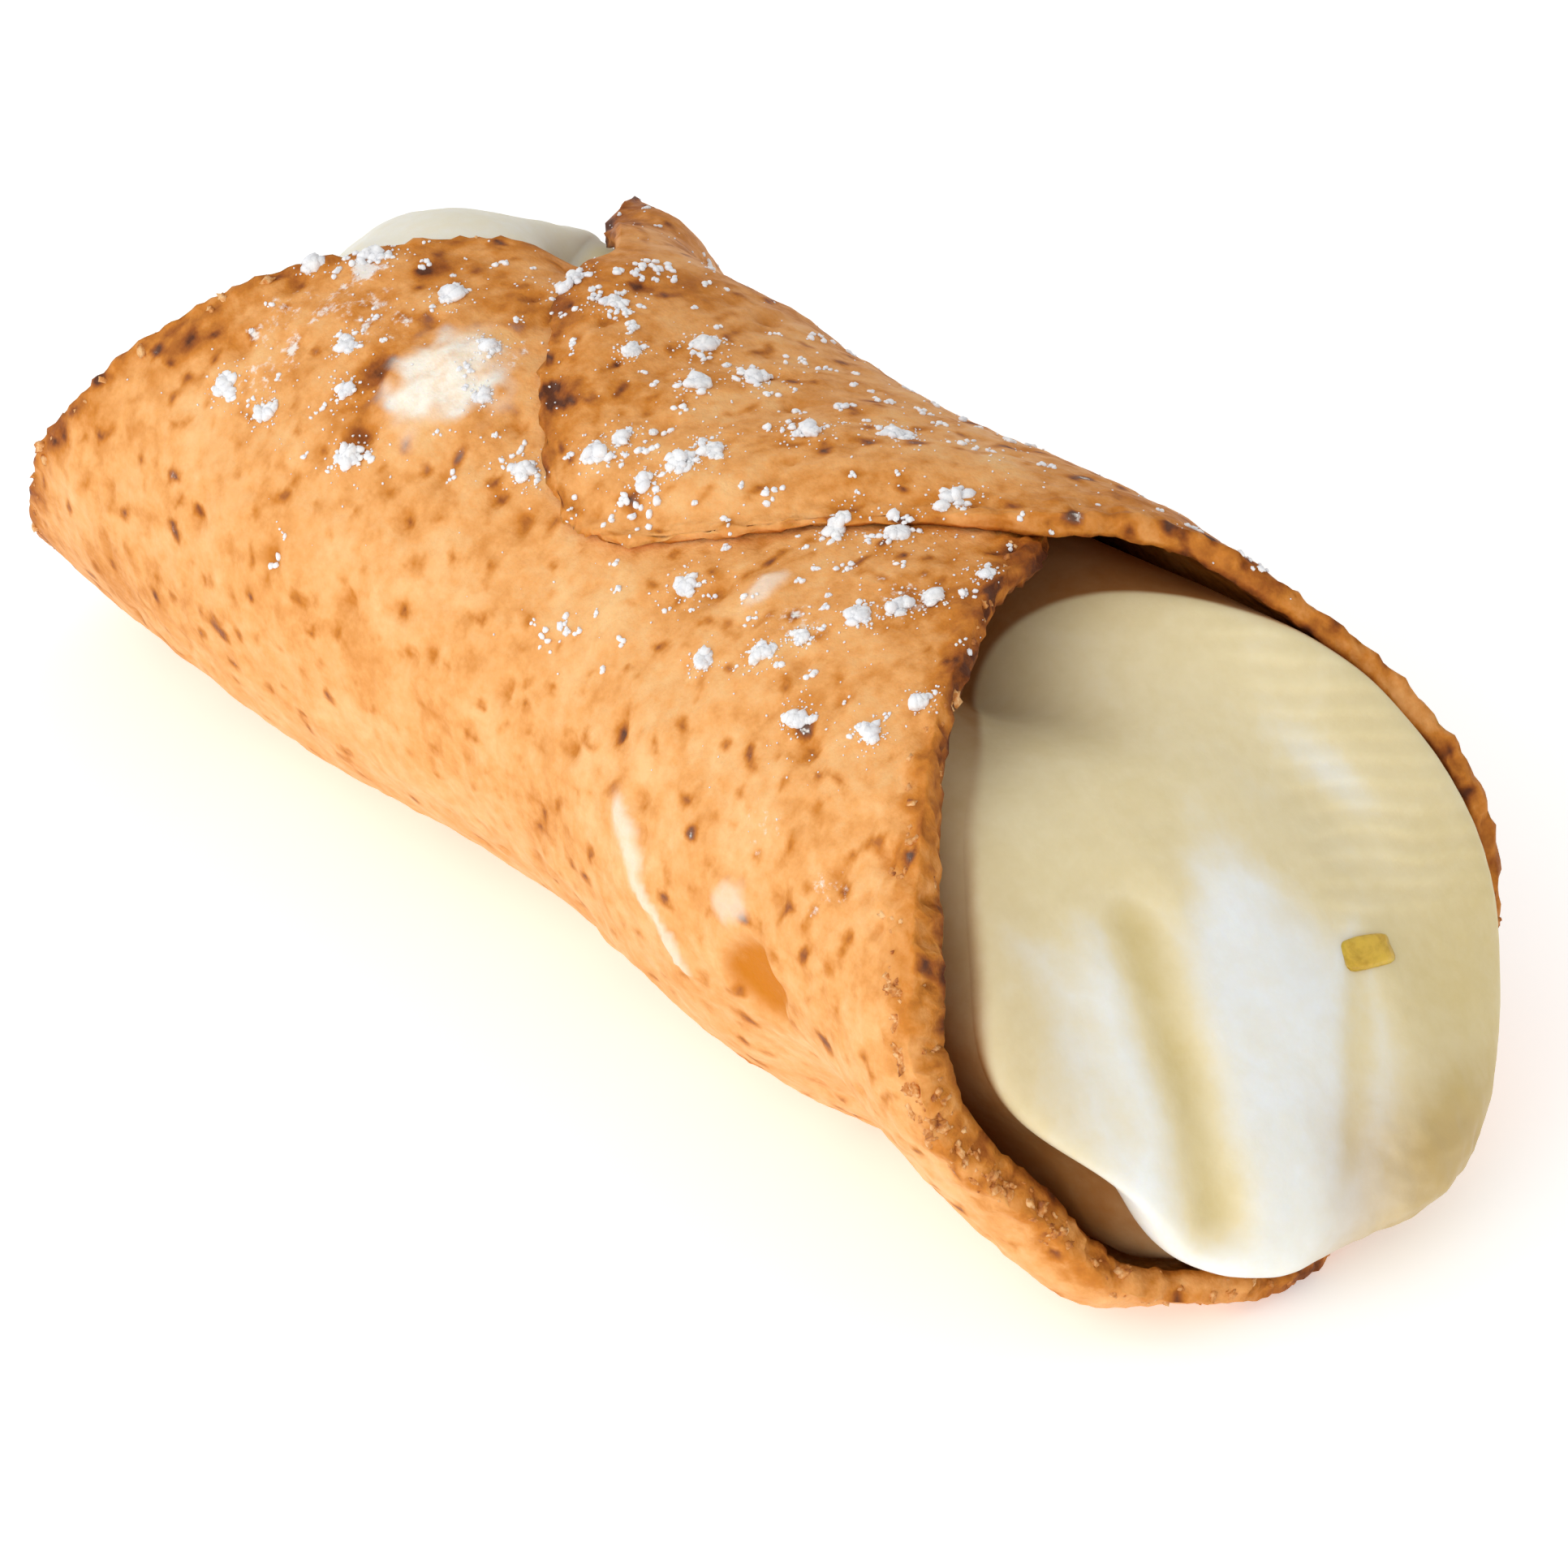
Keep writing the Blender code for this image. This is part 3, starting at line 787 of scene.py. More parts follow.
class CANNOLI_OT_shell(Operator):
    """Roll up and shape the fried dough"""
    bl_idname = "cannoli.shell"
    bl_label = "Dough shell"

    def execute(self, context):
        settings = context.scene.cannoli_dough
        deselect_all()
        bpy.ops.mesh.primitive_grid_add(
            x_subdivisions=SHEET_CELLS_LONG, y_subdivisions=SHEET_CELLS_ROUND, size=2.0)
        piece = context.object
        roll_up_sheet(piece)
        bpy.ops.object.mode_set(mode="EDIT")
        bpy.ops.mesh.select_all(action="SELECT")
        bpy.ops.mesh.flip_normals()
        bpy.ops.object.mode_set(mode="OBJECT")
        thicken_sheet(piece, settings)
        shape_dough(piece)
        bpy.ops.object.shade_smooth()
        name_piece(piece, "dough_shell", dough_material(settings))
        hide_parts("shell")
        return {"FINISHED"}


# ---------------------------------------------------------------- the cream

MOUTH_SHARE = 0.60            # share of the cream's rings that lie on the mouth's dome
TAIL_SHARE = 0.20             # and on the tail's
# Spots of dark brown painted shade on the cream, where it lies in the shaded gap against the dough
GAP_SHADE_SPOTS = ((0.15, -110.0, 45.0), (1.0, -170.0, 32.0), (1.3, -50.0, 42.0), (0.8, 155.0, 35.0))

# Folds on both domes, in millimetres from the dome's middle: how far to the far side the fold
# lies, how that changes going down, its top, its bottom, half its width, and its depth
FOLDS = (
    (-8.2, -0.03, -9.0, 19.0, 2.5, 0.90),
    (9.6, -0.44, -4.0, 16.0, 2.1, 0.50),
    (-15.0, 0.10, -3.0, 12.0, 2.4, 0.22))
TAIL_FOLDS = ((3.5, 0.30, -10.0, 15.0, 2.0, 0.85), (-7.0, 0.15, -6.0, 13.0, 2.2, 0.55))
FOLD_FADE = 5.0
RIPPLES_ACROSS = (-0.41, 0.31, 0.86)   # the direction from one ripple to the next
RIPPLE_LENGTH = 1.6
RIPPLE_DEPTH = 0.16


def fold_mark(sideways, down, fold, hook=0.0):
    """1 along the bottom of a fold and 0 beside it.  The hook moves it to the near side."""
    middle, change, top, bottom, width, _ = fold
    ends = plateau(down, top, top + FOLD_FADE, bottom - FOLD_FADE, bottom)
    return ends * fade(sideways - (middle + change * down - hook), width)


def dome_relief(sideways, down, points):
    """Height of the folds, the ridge and the ripples on the mouth's dome, and their depth."""
    height = np.zeros_like(sideways)
    folded = np.zeros_like(sideways)
    drift = 0.8 * soft_noise(points, 6.0, 20)
    hook = 0.012 * np.maximum(3.0 - down, 0.0) ** 2
    for fold in FOLDS:
        groove = fold_mark(sideways + drift, down, fold, hook)
        height -= fold[-1] * groove
        folded = np.maximum(folded, groove * fold[-1])
    ridge = plateau(sideways, -8.0, -4.6, -1.0, 7.0) * smooth_step(down, -11.0, -6.5)
    height += 0.55 * ridge
    rippled = smooth_step(sideways, 6.0, 11.0) * (1.0 - smooth_step(down, -5.0, 0.0))
    across_ripples = points @ np.array(RIPPLES_ACROSS)
    waves = np.sin(across_ripples * 2.0 * np.pi / RIPPLE_LENGTH + 1.8 * soft_noise(points, 5.0, 21))
    height += RIPPLE_DEPTH * rippled * waves * (0.6 + 0.4 * soft_noise(points, 3.0, 22))
    ragged = smooth_step(sideways, 2.0, 9.0) * smooth_step(down, 6.0, 13.0)
    height += ragged * uneven(points, (0.35, 2.4, 23), (0.15, 1.0, 24))
    height += uneven(points, (0.30, 7.0, 25), (0.05, 1.2, 26))
    return height, folded


def tail_relief(sideways, down, points):
    """Height of the soft folds on the tail's dome, and their depth."""
    drift = 1.2 * soft_noise(points, 6.0, 35)
    folded = np.maximum.reduce([
        fold[-1] * fold_mark(sideways + drift, down, fold) for fold in TAIL_FOLDS])
    return uneven(points, (0.40, 5.0, 36), (0.12, 1.8, 37)) - folded, folded


def dome_points(turn, step, end):
    """Points on a cream dome: step runs from 0 at the rim to 1 at the middle."""
    all_turns = np.linspace(-180.0, 180.0, 48, endpoint=False)
    middle = cream_side(cream_rim(all_turns, end), all_turns).mean(axis=0)
    quarter = 0.5 * np.pi * step
    across = np.cos(quarter) ** 0.85
    height = np.sin(quarter) ** 0.9
    if end > 0:
        lean = math.radians(MOUTH_LEAN)
        overhang = sum(spot(turn, amount) for amount in (*OVERHANGS, LIFTED))
        across = across + overhang * np.sin(2.0 * quarter) * (1.0 - smooth_step(step, 0.7, 1.0))
        swell = MOUTH_DOME * height
    else:
        lean = math.radians(TAIL_LEAN)
        beside = across * np.sin(np.radians(turn)) / TAIL_HILL_SIZE[0]
        above = (across * np.cos(np.radians(turn)) + TAIL_HILL_PLACE) / TAIL_HILL_SIZE[1]
        low, hill = TAIL_HILL_SHARES
        swell = TAIL_DOME * height * (low + hill * np.exp(-beside ** 2 - above ** 2))
    whole_rim = cream_side(cream_rim(all_turns, end), all_turns)[:, 0] - middle[0]
    slant = [2.0 * np.mean(whole_rim * wave(np.radians(all_turns))) for wave in (np.cos, np.sin)]
    rim = cream_side(cream_rim(turn, end), turn) - middle
    angle = roll_angle(turn)
    round_rim = np.stack([
        slant[0] * np.cos(np.radians(turn)) + slant[1] * np.sin(np.radians(turn)),
        -WIDTH_RATIO * DOME_RADIUS * np.sin(angle), DOME_RADIUS * np.cos(angle)], axis=-1)
    outwards = np.array([end * math.cos(lean), 0.0, math.sin(lean)])
    blend = smooth_step(step, 0.0, 0.6)[:, None]
    points = middle + (rim + (round_rim - rim) * blend) * across[:, None] + outwards * swell[:, None]
    sideways = across * np.sin(np.radians(turn)) * ROLL_RADIUS
    down = across * np.cos(np.radians(turn)) * ROLL_RADIUS
    return points, sideways, down, outwards


def mouth_colour(points, sideways, down, turn, folded):
    """How much painted shade the mouth's dome takes, from 0 to 1: buttery at the top, the sides and low
    down and dull yellow in the folds, less along a painted highlight band by the far rim; and how much dark
    brown painted shade it takes low down and at the near side.
    """
    raised = fade(sideways + 0.5, 5.0)
    wander = uneven(points, (2.2, 5.0, 33), (0.8, 2.0, 34))
    # Painted shade at the top, at the far side and at the near side; the raised ridge is kept light.
    upper = smooth_step(-down - 3.0 - 6.0 * raised + wander, -5.0, 3.5)
    right = smooth_step(sideways + wander, 5.0, 15.0)
    left = smooth_step(-sideways, 13.0, 19.5)
    # A painted highlight band along the far rim.
    highlight_band = fade(np.hypot(sideways, down) - 16.5, 1.1) * bump(turn, 133.0, 14.0)
    # Painted shade low down and towards the far side.
    far_right = smooth_step(sideways, 9.0, 18.0) * smooth_step(down, -9.0, 2.0)
    low_right = smooth_step(down, 6.0, 13.0) * smooth_step(sideways, 2.0, 9.0)
    low_far = smooth_step(down, 4.0, 13.0) * smooth_step(sideways, -2.0, 6.0)
    shade_amount = 0.05 + 0.50 * np.maximum.reduce([upper, right, left]) - 0.35 * highlight_band
    shade_amount += 0.20 * far_right + 0.20 * low_right + 0.22 * low_far
    return np.maximum(shade_amount, 0.05 + 0.80 * folded ** 0.9), 0.34 * low_far + 0.12 * left


def shape_cream(piece):
    """Turns a ball with its poles along the roll into the filling."""
    ball = read_points(piece) * MM
    ball /= np.linalg.norm(ball, axis=1, keepdims=True)
    share = np.arccos(np.clip(ball[:, 0], -1.0, 1.0)) / np.pi
    angle = np.degrees(np.arctan2(-ball[:, 1], ball[:, 2]))
    turn = (angle - 180.0 - SEAM_TURN + 180.0) % 360.0 - 180.0
    points = np.zeros_like(ball)
    on_mouth = share <= MOUTH_SHARE
    on_tail = share >= 1.0 - TAIL_SHARE
    on_side = ~(on_mouth | on_tail)
    from_tail = (1.0 - TAIL_SHARE - share[on_side]) / (1.0 - TAIL_SHARE - MOUTH_SHARE)
    tail, mouth = cream_rim(turn[on_side], -1), cream_rim(turn[on_side], 1)
    points[on_side] = cream_side(tail + from_tail * (mouth - tail), turn[on_side])
    tail_step = (share[on_tail] - (1.0 - TAIL_SHARE)) / TAIL_SHARE
    domed, sideways, down, outwards = dome_points(turn[on_tail], tail_step, -1)
    height, folded = tail_relief(sideways, down, domed)
    points[on_tail] = domed + outwards * (height * smooth_step(tail_step, 0.0, 0.2))[:, None]
    mouth_step = 1.0 - share[on_mouth] / MOUTH_SHARE
    domed, sideways, down, outwards = dome_points(turn[on_mouth], mouth_step, 1)
    height, mouth_folded = dome_relief(sideways, down, domed)
    points[on_mouth] = domed + outwards * (height * smooth_step(mouth_step, 0.0, 0.12))[:, None]
    # Painted shade: a middle tone on the hidden side, and darker in the tail dome's folds.
    painted_shading = np.full(len(ball), 0.6)
    painted_shading[on_tail] = 0.24 + 0.40 * folded
    painted_shading[on_mouth], brown_shade = mouth_colour(domed, sideways, down, turn[on_mouth], mouth_folded)
    # Painted shade, dark brown, on the cream's side and near the dome's rim where it lies in the gap
    # against the dough, strongest at the listed spots and fading out towards the tail, with more painted
    # shade low down and at the near side of the dome.
    gap_shade = np.where(on_side, 1.0, 0.0)
    gap_shade[on_mouth] = 1.0 - smooth_step(
        mouth_step, 0.0, 0.05 + 0.13 * bump(turn[on_mouth], -100.0, 35.0))
    gap_shade *= np.clip(sum(spot(turn, amount) for amount in GAP_SHADE_SPOTS), 0.0, 1.0)
    gap_shade *= smooth_step(points[:, 0], -25.0, 5.0)
    gap_shade[on_mouth] += brown_shade
    out = points - np.array([0.0, 0.0, ROLL_RADIUS])
    out[:, 0] = 0.0
    out /= np.maximum(np.linalg.norm(out, axis=1, keepdims=True), 1e-6)
    amount = np.where(on_side, 1.0, 0.0)
    amount[on_mouth] = 1.0 - smooth_step(mouth_step, 0.0, 0.2)
    amount[on_tail] = 1.0 - smooth_step(tail_step, 0.0, 0.3)
    waves = broad_waves(points) + pushed(points[:, 0], turn) * (points[:, 0] < 0.0)
    write_points(piece, points + out * (waves * amount)[:, None])
    write_mark(piece, "painted_shading", np.clip(painted_shading, 0.0, 1.0))
    write_mark(piece, "gap_shade", gap_shade)


class CANNOLI_OT_cream(Operator):
    """Shape the cream filling that runs through the roll"""
    bl_idname = "cannoli.cream"
    bl_label = "Cream filling"

    def execute(self, context):
        settings = context.scene.cannoli_cream
        deselect_all()
        bpy.ops.mesh.primitive_uv_sphere_add(
            segments=CREAM_SEGMENTS, ring_count=CREAM_RINGS, radius=1.0, rotation=(0.0, math.pi / 2.0, 0.0))
        bpy.ops.object.transform_apply(location=False, rotation=True, scale=False)
        piece = context.object
        shape_cream(piece)
        bpy.ops.object.mode_set(mode="EDIT")
        bpy.ops.mesh.select_all(action="SELECT")
        bpy.ops.mesh.normals_make_consistent(inside=False)
        bpy.ops.object.mode_set(mode="OBJECT")
        bpy.ops.object.shade_smooth()
        name_piece(piece, "cream_filling", cream_material(settings))
        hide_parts("cream")
        return {"FINISHED"}


# ---------------------------------------------------------------- sugar, crumbs and peel

# The largest clumps of sugar on the dough: x, turn and length
CLUMPS = (
    (-31.9, -150.5, 2.8), (-35.0, -142.5, 1.8), (-17.2, -147.5, 1.7), (-14.2, -139.0, 1.4),
    (-33.0, -115.0, 2.6), (-28.5, -115.0, 2.2), (-19.5, -117.0, 3.4), (-26.5, -133.0, 1.8),
    (-23.5, -126.0, 2.0), (-24.0, -152.0, 2.4), (-7.0, -132.0, 2.6), (-18.5, 193.0, 3.2),
    (-14.0, 193.0, 2.2), (-8.5, 199.0, 1.5), (-6.5, 188.0, 2.4), (-1.0, 188.0, 2.8),
    (-2.5, 197.0, 2.4), (-1.5, 214.0, 1.6), (-2.0, 219.0, 2.2), (3.0, 218.0, 1.7), (4.0, 212.0, 2.4),
    (4.5, 207.0, 2.6), (8.0, 194.0, 2.4), (11.5, 184.0, 3.0), (20.0, -161.0, 3.0),
    (20.5, -172.0, 3.0), (16.5, -155.0, 2.2), (26.5, -148.0, 2.4), (25.0, -143.0, 2.6), (11.5, -131.0, 2.6),
    (23.0, -134.0, 2.0), (21.5, -128.0, 2.4), (17.5, -121.0, 1.6), (27.5, -122.0, 2.6),
    (33.5, -127.0, 1.8), (34.5, -136.0, 1.5), (27.5, -153.0, 1.5), (28.0, -163.0, 1.4))
SUGAR_SHAPES = 8              # how many shapes the bits of sugar come in
DUST_SHAPES = 5
CRUMB_SHAPES = 5
NEAR_CLUMPS = 0.6             # share of the fine grains that lie round the largest clumps
FULL_TURN = 6.3               # in radians, a little over
PEEL_SIZE = (4.3, 2.2, 1.5)
PEEL_SUNK = 0.35              # how deep the middle of the peel lies in the cream


def grain_shape(detail, seed, roughness):
    """A lump's points and faces: a small ball, dented at random."""
    deselect_all()
    bpy.ops.mesh.primitive_ico_sphere_add(subdivisions=detail, radius=0.5)
    lump = bpy.context.object
    points = read_points(lump) * MM
    dents = soft_noise(points + seed * 3.7, 0.42) * roughness
    dents = dents + soft_noise(points - seed, 0.2) * roughness * 0.4
    points *= (1.0 + dents)[:, None]
    faces = np.array([list(face.vertices) for face in lump.data.polygons])
    bpy.data.objects.remove(lump, do_unlink=True)
    return points, faces


def lie(chance, shapes, point, way, size, width, height):
    """A place for join_copies.  Width and height are shares of the size, or ranges to draw from."""
    shape, spin = chance.integers(shapes), chance.uniform(0.0, FULL_TURN)
    across = [size * (chance.uniform(*share) if isinstance(share, tuple) else share)
              for share in (width, height)]
    return (shape, point, way, spin, size, *across)


def join_copies(name, shapes, places, material):
    """One mesh of many lumps.  A place is (shape, middle, outwards, spin, length, width, height)."""
    points, faces, used = [], [], 0
    for shape, middle, outwards, spin, *size in places:
        shape_points, shape_faces = shapes[shape]
        turned = Vector(outwards).to_track_quat("Z", "Y").to_matrix() @ Matrix.Rotation(spin, 3, "Z")
        points.append((shape_points * np.array(size)) @ np.array(turned).T + np.array(middle))
        faces.append(shape_faces + used)
        used += len(shape_points)
    mesh = bpy.data.meshes.new(name)
    mesh.from_pydata((np.concatenate(points) * MM).tolist(), [], np.concatenate(faces).tolist())
    mesh.shade_smooth()
    piece = bpy.data.objects.new(name, mesh)
    bpy.context.scene.collection.objects.link(piece)
    return name_piece(piece, name, material)


class Surface:
    """The finished dough, to lay small things on."""

    def __init__(self, piece):
        self.tree = BVHTree.FromObject(piece, bpy.context.evaluated_depsgraph_get())

    def from_above(self, x, y):
        """Where something that falls at x, y lands: its place and the way out there, or None."""
        hit, normal, _, _ = self.tree.ray_cast(Vector((x, y, 80.0)) * MM, Vector((0.0, 0.0, -1.0)))
        return (np.array(hit) / MM, np.array(normal)) if hit else None

    def on_dough(self, x, turn):
        """The outside of the dough at x and a turn."""
        x, turn = np.array([x]), np.array([turn])
        start = dough_point(x, turn)[0]
        out = dough_outwards(x, turn)[0]
        hit, normal, _, _ = self.tree.ray_cast(Vector(start + out * 1.8) * MM, Vector(-out))
        return (np.array(hit) / MM, np.array(normal)) if hit else (start, out)


def clump_places(surface, chance):
    """Where the bits of the largest clumps lie: each clump is longer than it is wide."""
    for x, turn, length in CLUMPS:
        lean = chance.uniform(0.0, math.pi)
        for _ in range(int(8 + 6 * length)):
            far, wide = chance.normal(0.0, 0.24 * length), chance.normal(0.0, 0.13 * length)
            along = far * math.cos(lean) - wide * math.sin(lean)
            across = far * math.sin(lean) + wide * math.cos(lean)
            point, way = surface.on_dough(x + along, turn + math.degrees(across / ARC_RADIUS))
            size = 0.4 + 1.1 * chance.random() ** 1.5
            size = size * (1.0 - 0.6 * min(abs(far) / (0.6 * length), 1.0))
            height = chance.uniform(0.0, 0.3) * max(0.0, 1.0 - abs(far) / (0.4 * length))
            yield lie(chance, SUGAR_SHAPES, point + way * height, way, size, (0.6, 0.95), (0.45, 0.7))


def fallen_places(surface, chance, count):
    """Where the bits of the small clumps lie, which fell at random."""
    made = 0
    while made < count:
        landed = surface.from_above(chance.uniform(-40.0, 40.0), chance.uniform(-26.0, 26.0))
        if landed is None or chance.random() > sugar_density(landed[0][None])[0]:
            continue
        middle = landed[0]
        spread = 0.12 + 0.45 * chance.random() ** 3
        made += 1
        for _ in range(int(2 + 12 * spread)):
            offset = chance.normal(0.0, spread, 2)
            fallen = surface.from_above(middle[0] + offset[0], middle[1] + offset[1])
            if fallen is None:
                continue
            point, way = fallen
            size = chance.uniform(0.2, 0.45 + 0.5 * spread)
            yield lie(chance, SUGAR_SHAPES, point + way * size * 0.1, way, size, (0.6, 0.95), 0.6)


def dust_places(surface, chance, count):
    """Where the fine grains lie: round the largest clumps, and at random."""
    made = 0
    while made < count:
        if chance.random() < NEAR_CLUMPS:
            x, turn, length = CLUMPS[chance.integers(len(CLUMPS))]
            near = chance.normal(0.0, 0.45 * length, 2)
            landed = surface.on_dough(x + near[0], turn + math.degrees(near[1] / ARC_RADIUS))
        else:
            landed = surface.from_above(chance.uniform(-44.0, 42.0), chance.uniform(-26.0, 26.0))
            if landed is None or chance.random() > sugar_density(landed[0][None])[0]:
                continue
        point, way = landed
        size = chance.uniform(0.08, 0.24)
        made += 1
        yield lie(chance, DUST_SHAPES, point + way * size * 0.2, way, size, 0.8, 0.6)


class CANNOLI_OT_sugar(Operator):
    """Strew clumps and fine dust of icing sugar over the roll"""
    bl_idname = "cannoli.sugar"
    bl_label = "Icing sugar"

    def execute(self, context):
        settings = context.scene.cannoli_sugar
        surface = Surface(bpy.data.objects["dough_shell"])
        chance = np.random.default_rng(21)
        shapes = [grain_shape(2, seed, 0.42) for seed in range(SUGAR_SHAPES)]
        places = [*clump_places(surface, chance), *fallen_places(surface, chance, settings.clumps)]
        material = sugar_material(settings)
        join_copies("sugar_clumps", shapes, places, material)
        shapes = [grain_shape(1, seed, 0.5) for seed in range(DUST_SHAPES)]
        join_copies("sugar_dust", shapes, dust_places(surface, chance, settings.grains), material)
        return {"FINISHED"}


class CANNOLI_OT_crumbs(Operator):
    """Leave crumbs along the broken rims of the dough"""
    bl_idname = "cannoli.crumbs"
    bl_label = "Rim crumbs"

    def execute(self, context):
        settings = context.scene.cannoli_dough
        surface = Surface(bpy.data.objects["dough_shell"])
        chance = np.random.default_rng(33)
        shapes = [grain_shape(2, seed, 0.9) for seed in range(CRUMB_SHAPES)]
        places = []
        while len(places) < settings.crumbs:
            turn = chance.choice([chance.uniform(-175.0, 90.0), chance.normal(-70.0, 25.0)])
            end = 1.0 if chance.random() < 0.75 else -1.0
            x = end * (float(half_length(np.array(turn))) - chance.uniform(-0.4, 1.2)) + SKEW * turn / 180.0
            at = np.array([x]), np.array([turn])
            start = dough_point(*at)[0] - dough_outwards(*at)[0] * chance.uniform(0.0, WALL)
            near, normal, _, _ = surface.tree.find_nearest(Vector(start) * MM)
            point, way = np.array(near) / MM, np.array(normal)
            size = 0.3 + 0.9 * chance.random() ** 2
            places.append(lie(
                chance, CRUMB_SHAPES, point - way * size * 0.05, way, size, (0.5, 0.9), (0.4, 0.8)))
        piece = join_copies("rim_crumbs", shapes, places, crumb_material(settings))
        return {"FINISHED"}


class CANNOLI_OT_peel(Operator):
    """Set one bit of candied peel in the cream"""
    bl_idname = "cannoli.peel"
    bl_label = "Candied peel"

    def execute(self, context):
        settings = context.scene.cannoli_cream
        deselect_all()
        bpy.ops.mesh.primitive_cube_add(size=1.0)
        piece = context.object
        bpy.ops.object.mode_set(mode="EDIT")
        bpy.ops.mesh.select_all(action="SELECT")
        bpy.ops.mesh.bevel(offset=0.22, segments=3, affect="EDGES")
        bpy.ops.mesh.subdivide(number_cuts=2)
        bpy.ops.object.mode_set(mode="OBJECT")
        points = read_points(piece) * MM
        points *= (1.0 + 0.22 * soft_noise(points, 0.6, 30))[:, None]
        cream = Surface(bpy.data.objects["cream_filling"])
        start = Vector((90.0, settings.peel_place[0] / MM, settings.peel_place[1] / MM)) * MM
        hit, normal, _, _ = cream.tree.ray_cast(start, Vector((-1.0, 0.0, 0.0)))
        if hit is None:
            raise RuntimeError("the peel's place is beside the cream")
        turned = normal.to_track_quat("Z", "Y").to_matrix()
        sized = points * np.array(PEEL_SIZE)
        turned = turned @ Matrix.Rotation(math.radians(settings.peel_turn), 3, "Z")
        write_points(piece, sized @ np.array(turned).T + np.array(hit) / MM - np.array(normal) * PEEL_SUNK)
        bpy.ops.object.shade_smooth()
        name_piece(piece, "candied_peel", peel_material(settings))
        return {"FINISHED"}


# ---------------------------------------------------------------- the stage


KEY_LIGHT = ((0.45, -0.74, 0.38), 0.9)      # place and size, in metres
FRONT_LIGHT = ((-0.55, -0.55, 0.55), 0.6)
VIEW_AROUND = 53.035          # degrees from straight over the near side, towards the mouth
VIEW_ABOVE = 30.609           # degrees up from level
VIEW_MIDDLE = (-11.68, ROLL_SHIFT[1], 19.0)  # the camera's distance is measured to here
VIEW_OFFSET = (9.72, 12.61)   # how far right of it and below it the camera points


def add_area_light(name, location, size, power, colour):
    """A square soft light that looks at the cannoli."""
    data = bpy.data.lights.new(name, "AREA")
    data.shape = "SQUARE"
    data.size = size
    data.energy = power
    data.color = colour
    light = bpy.data.objects.new(name, data)
    bpy.context.scene.collection.objects.link(light)
    light.location = location
    light.rotation_euler = Vector(location).to_track_quat("Z", "Y").to_euler()
    return light


class CANNOLI_OT_stage(Operator):
    """Set out the floor, the soft lights and the camera"""
    bl_idname = "cannoli.stage"
    bl_label = "Stage"

    def execute(self, context):
        settings = context.scene.cannoli_stage
        deselect_all()
        bpy.ops.mesh.primitive_plane_add(size=4.0, location=(0.0, 0.0, -0.0001))
        floor = context.object
        floor.name = "floor"
        material, _, shader = new_material("pale_floor")
        shader.inputs["Base Color"].default_value = settings.floor
        shader.inputs["Roughness"].default_value = 0.9
        shader.inputs["Specular IOR Level"].default_value = 0.1
        shader.inputs["Emission Color"].default_value = (1.0, 1.0, 1.0, 1.0)
        shader.inputs["Emission Strength"].default_value = settings.glow
        floor.data.materials.append(material)
        world = bpy.data.worlds.new("studio")
        world.use_nodes = True
        background = world.node_tree.nodes["Background"]
        background.inputs["Color"].default_value = (1.0, 1.0, 1.0, 1.0)
        background.inputs["Strength"].default_value = settings.fill
        context.scene.world = world
        key = add_area_light("key", *KEY_LIGHT, settings.key, (1.0, 0.99, 0.97))
        front = add_area_light("front", *FRONT_LIGHT, settings.front, (1.0, 1.0, 1.0))
        camera = bpy.data.objects.new("camera", bpy.data.cameras.new("camera"))
        context.scene.collection.objects.link(camera)
        camera.data.sensor_width = 36.0
        camera.data.lens = settings.lens
        camera.data.clip_start = 0.05
        around, above = math.radians(VIEW_AROUND), math.radians(VIEW_ABOVE)
        level = math.cos(above)
        back = Vector((math.sin(around) * level, -math.cos(around) * level, math.sin(above)))
        right = Vector((math.cos(around), math.sin(around), 0.0))
        up = back.cross(right)
        aimed = Vector(VIEW_MIDDLE) * MM
        camera.location = aimed + back * settings.distance
        target = aimed + right * VIEW_OFFSET[0] * MM - up * VIEW_OFFSET[1] * MM
        camera.rotation_mode = "QUATERNION"
        camera.rotation_quaternion = (camera.location - target).to_track_quat("Z", "Y")
        context.scene.camera = camera
        context.scene.view_settings.view_transform = "Standard"
        return {"FINISHED"}


# ---------------------------------------------------------------- settings and panel


def colour(name, description, value):
    """A colour that a user may change."""
    return FloatVectorProperty(
        name=name, description=description, default=(*value, 1.0), subtype="COLOR", size=4,
        min=0.0, max=1.0)


class DoughSettings(PropertyGroup):
    """Sizes and colours of the dough"""
    wall: FloatProperty(name="Wall", description="Thickness of the dough", default=WALL * MM, unit="LENGTH")
    crumbs: IntProperty(name="Crumbs", description="Crumbs along the rims", default=320, min=0)
    # The scale from pale to burnt also carries painted shade: on the top, the far side and the flap's
    # crest, under the flap's edge, in the pits and on the inside of the roll.
    pale: colour("Pale", "Least fried dough", (0.825, 0.49, 0.21))
    golden: colour("Golden", "Most of the near side", (0.78, 0.365, 0.115))
    amber: colour("Amber", "Well fried dough", (0.58, 0.205, 0.028))
    brown: colour("Brown", "Browned rims and pits", (0.31, 0.085, 0.012))
    burnt: colour("Burnt", "The darkest rims", (0.10, 0.028, 0.010))
    blotch: colour("Blotch", "Pale floury blisters", (0.93, 0.92, 0.82))
    # Painted shade and bounced light, saturated orange, for the deep pit.
    pit_shade_colour: colour("Caramel", "Where the dough is thin and half clear", (0.58, 0.19, 0.009))
    dust: colour("Dust", "Fine sugar on the dough", (0.90, 0.86, 0.80))


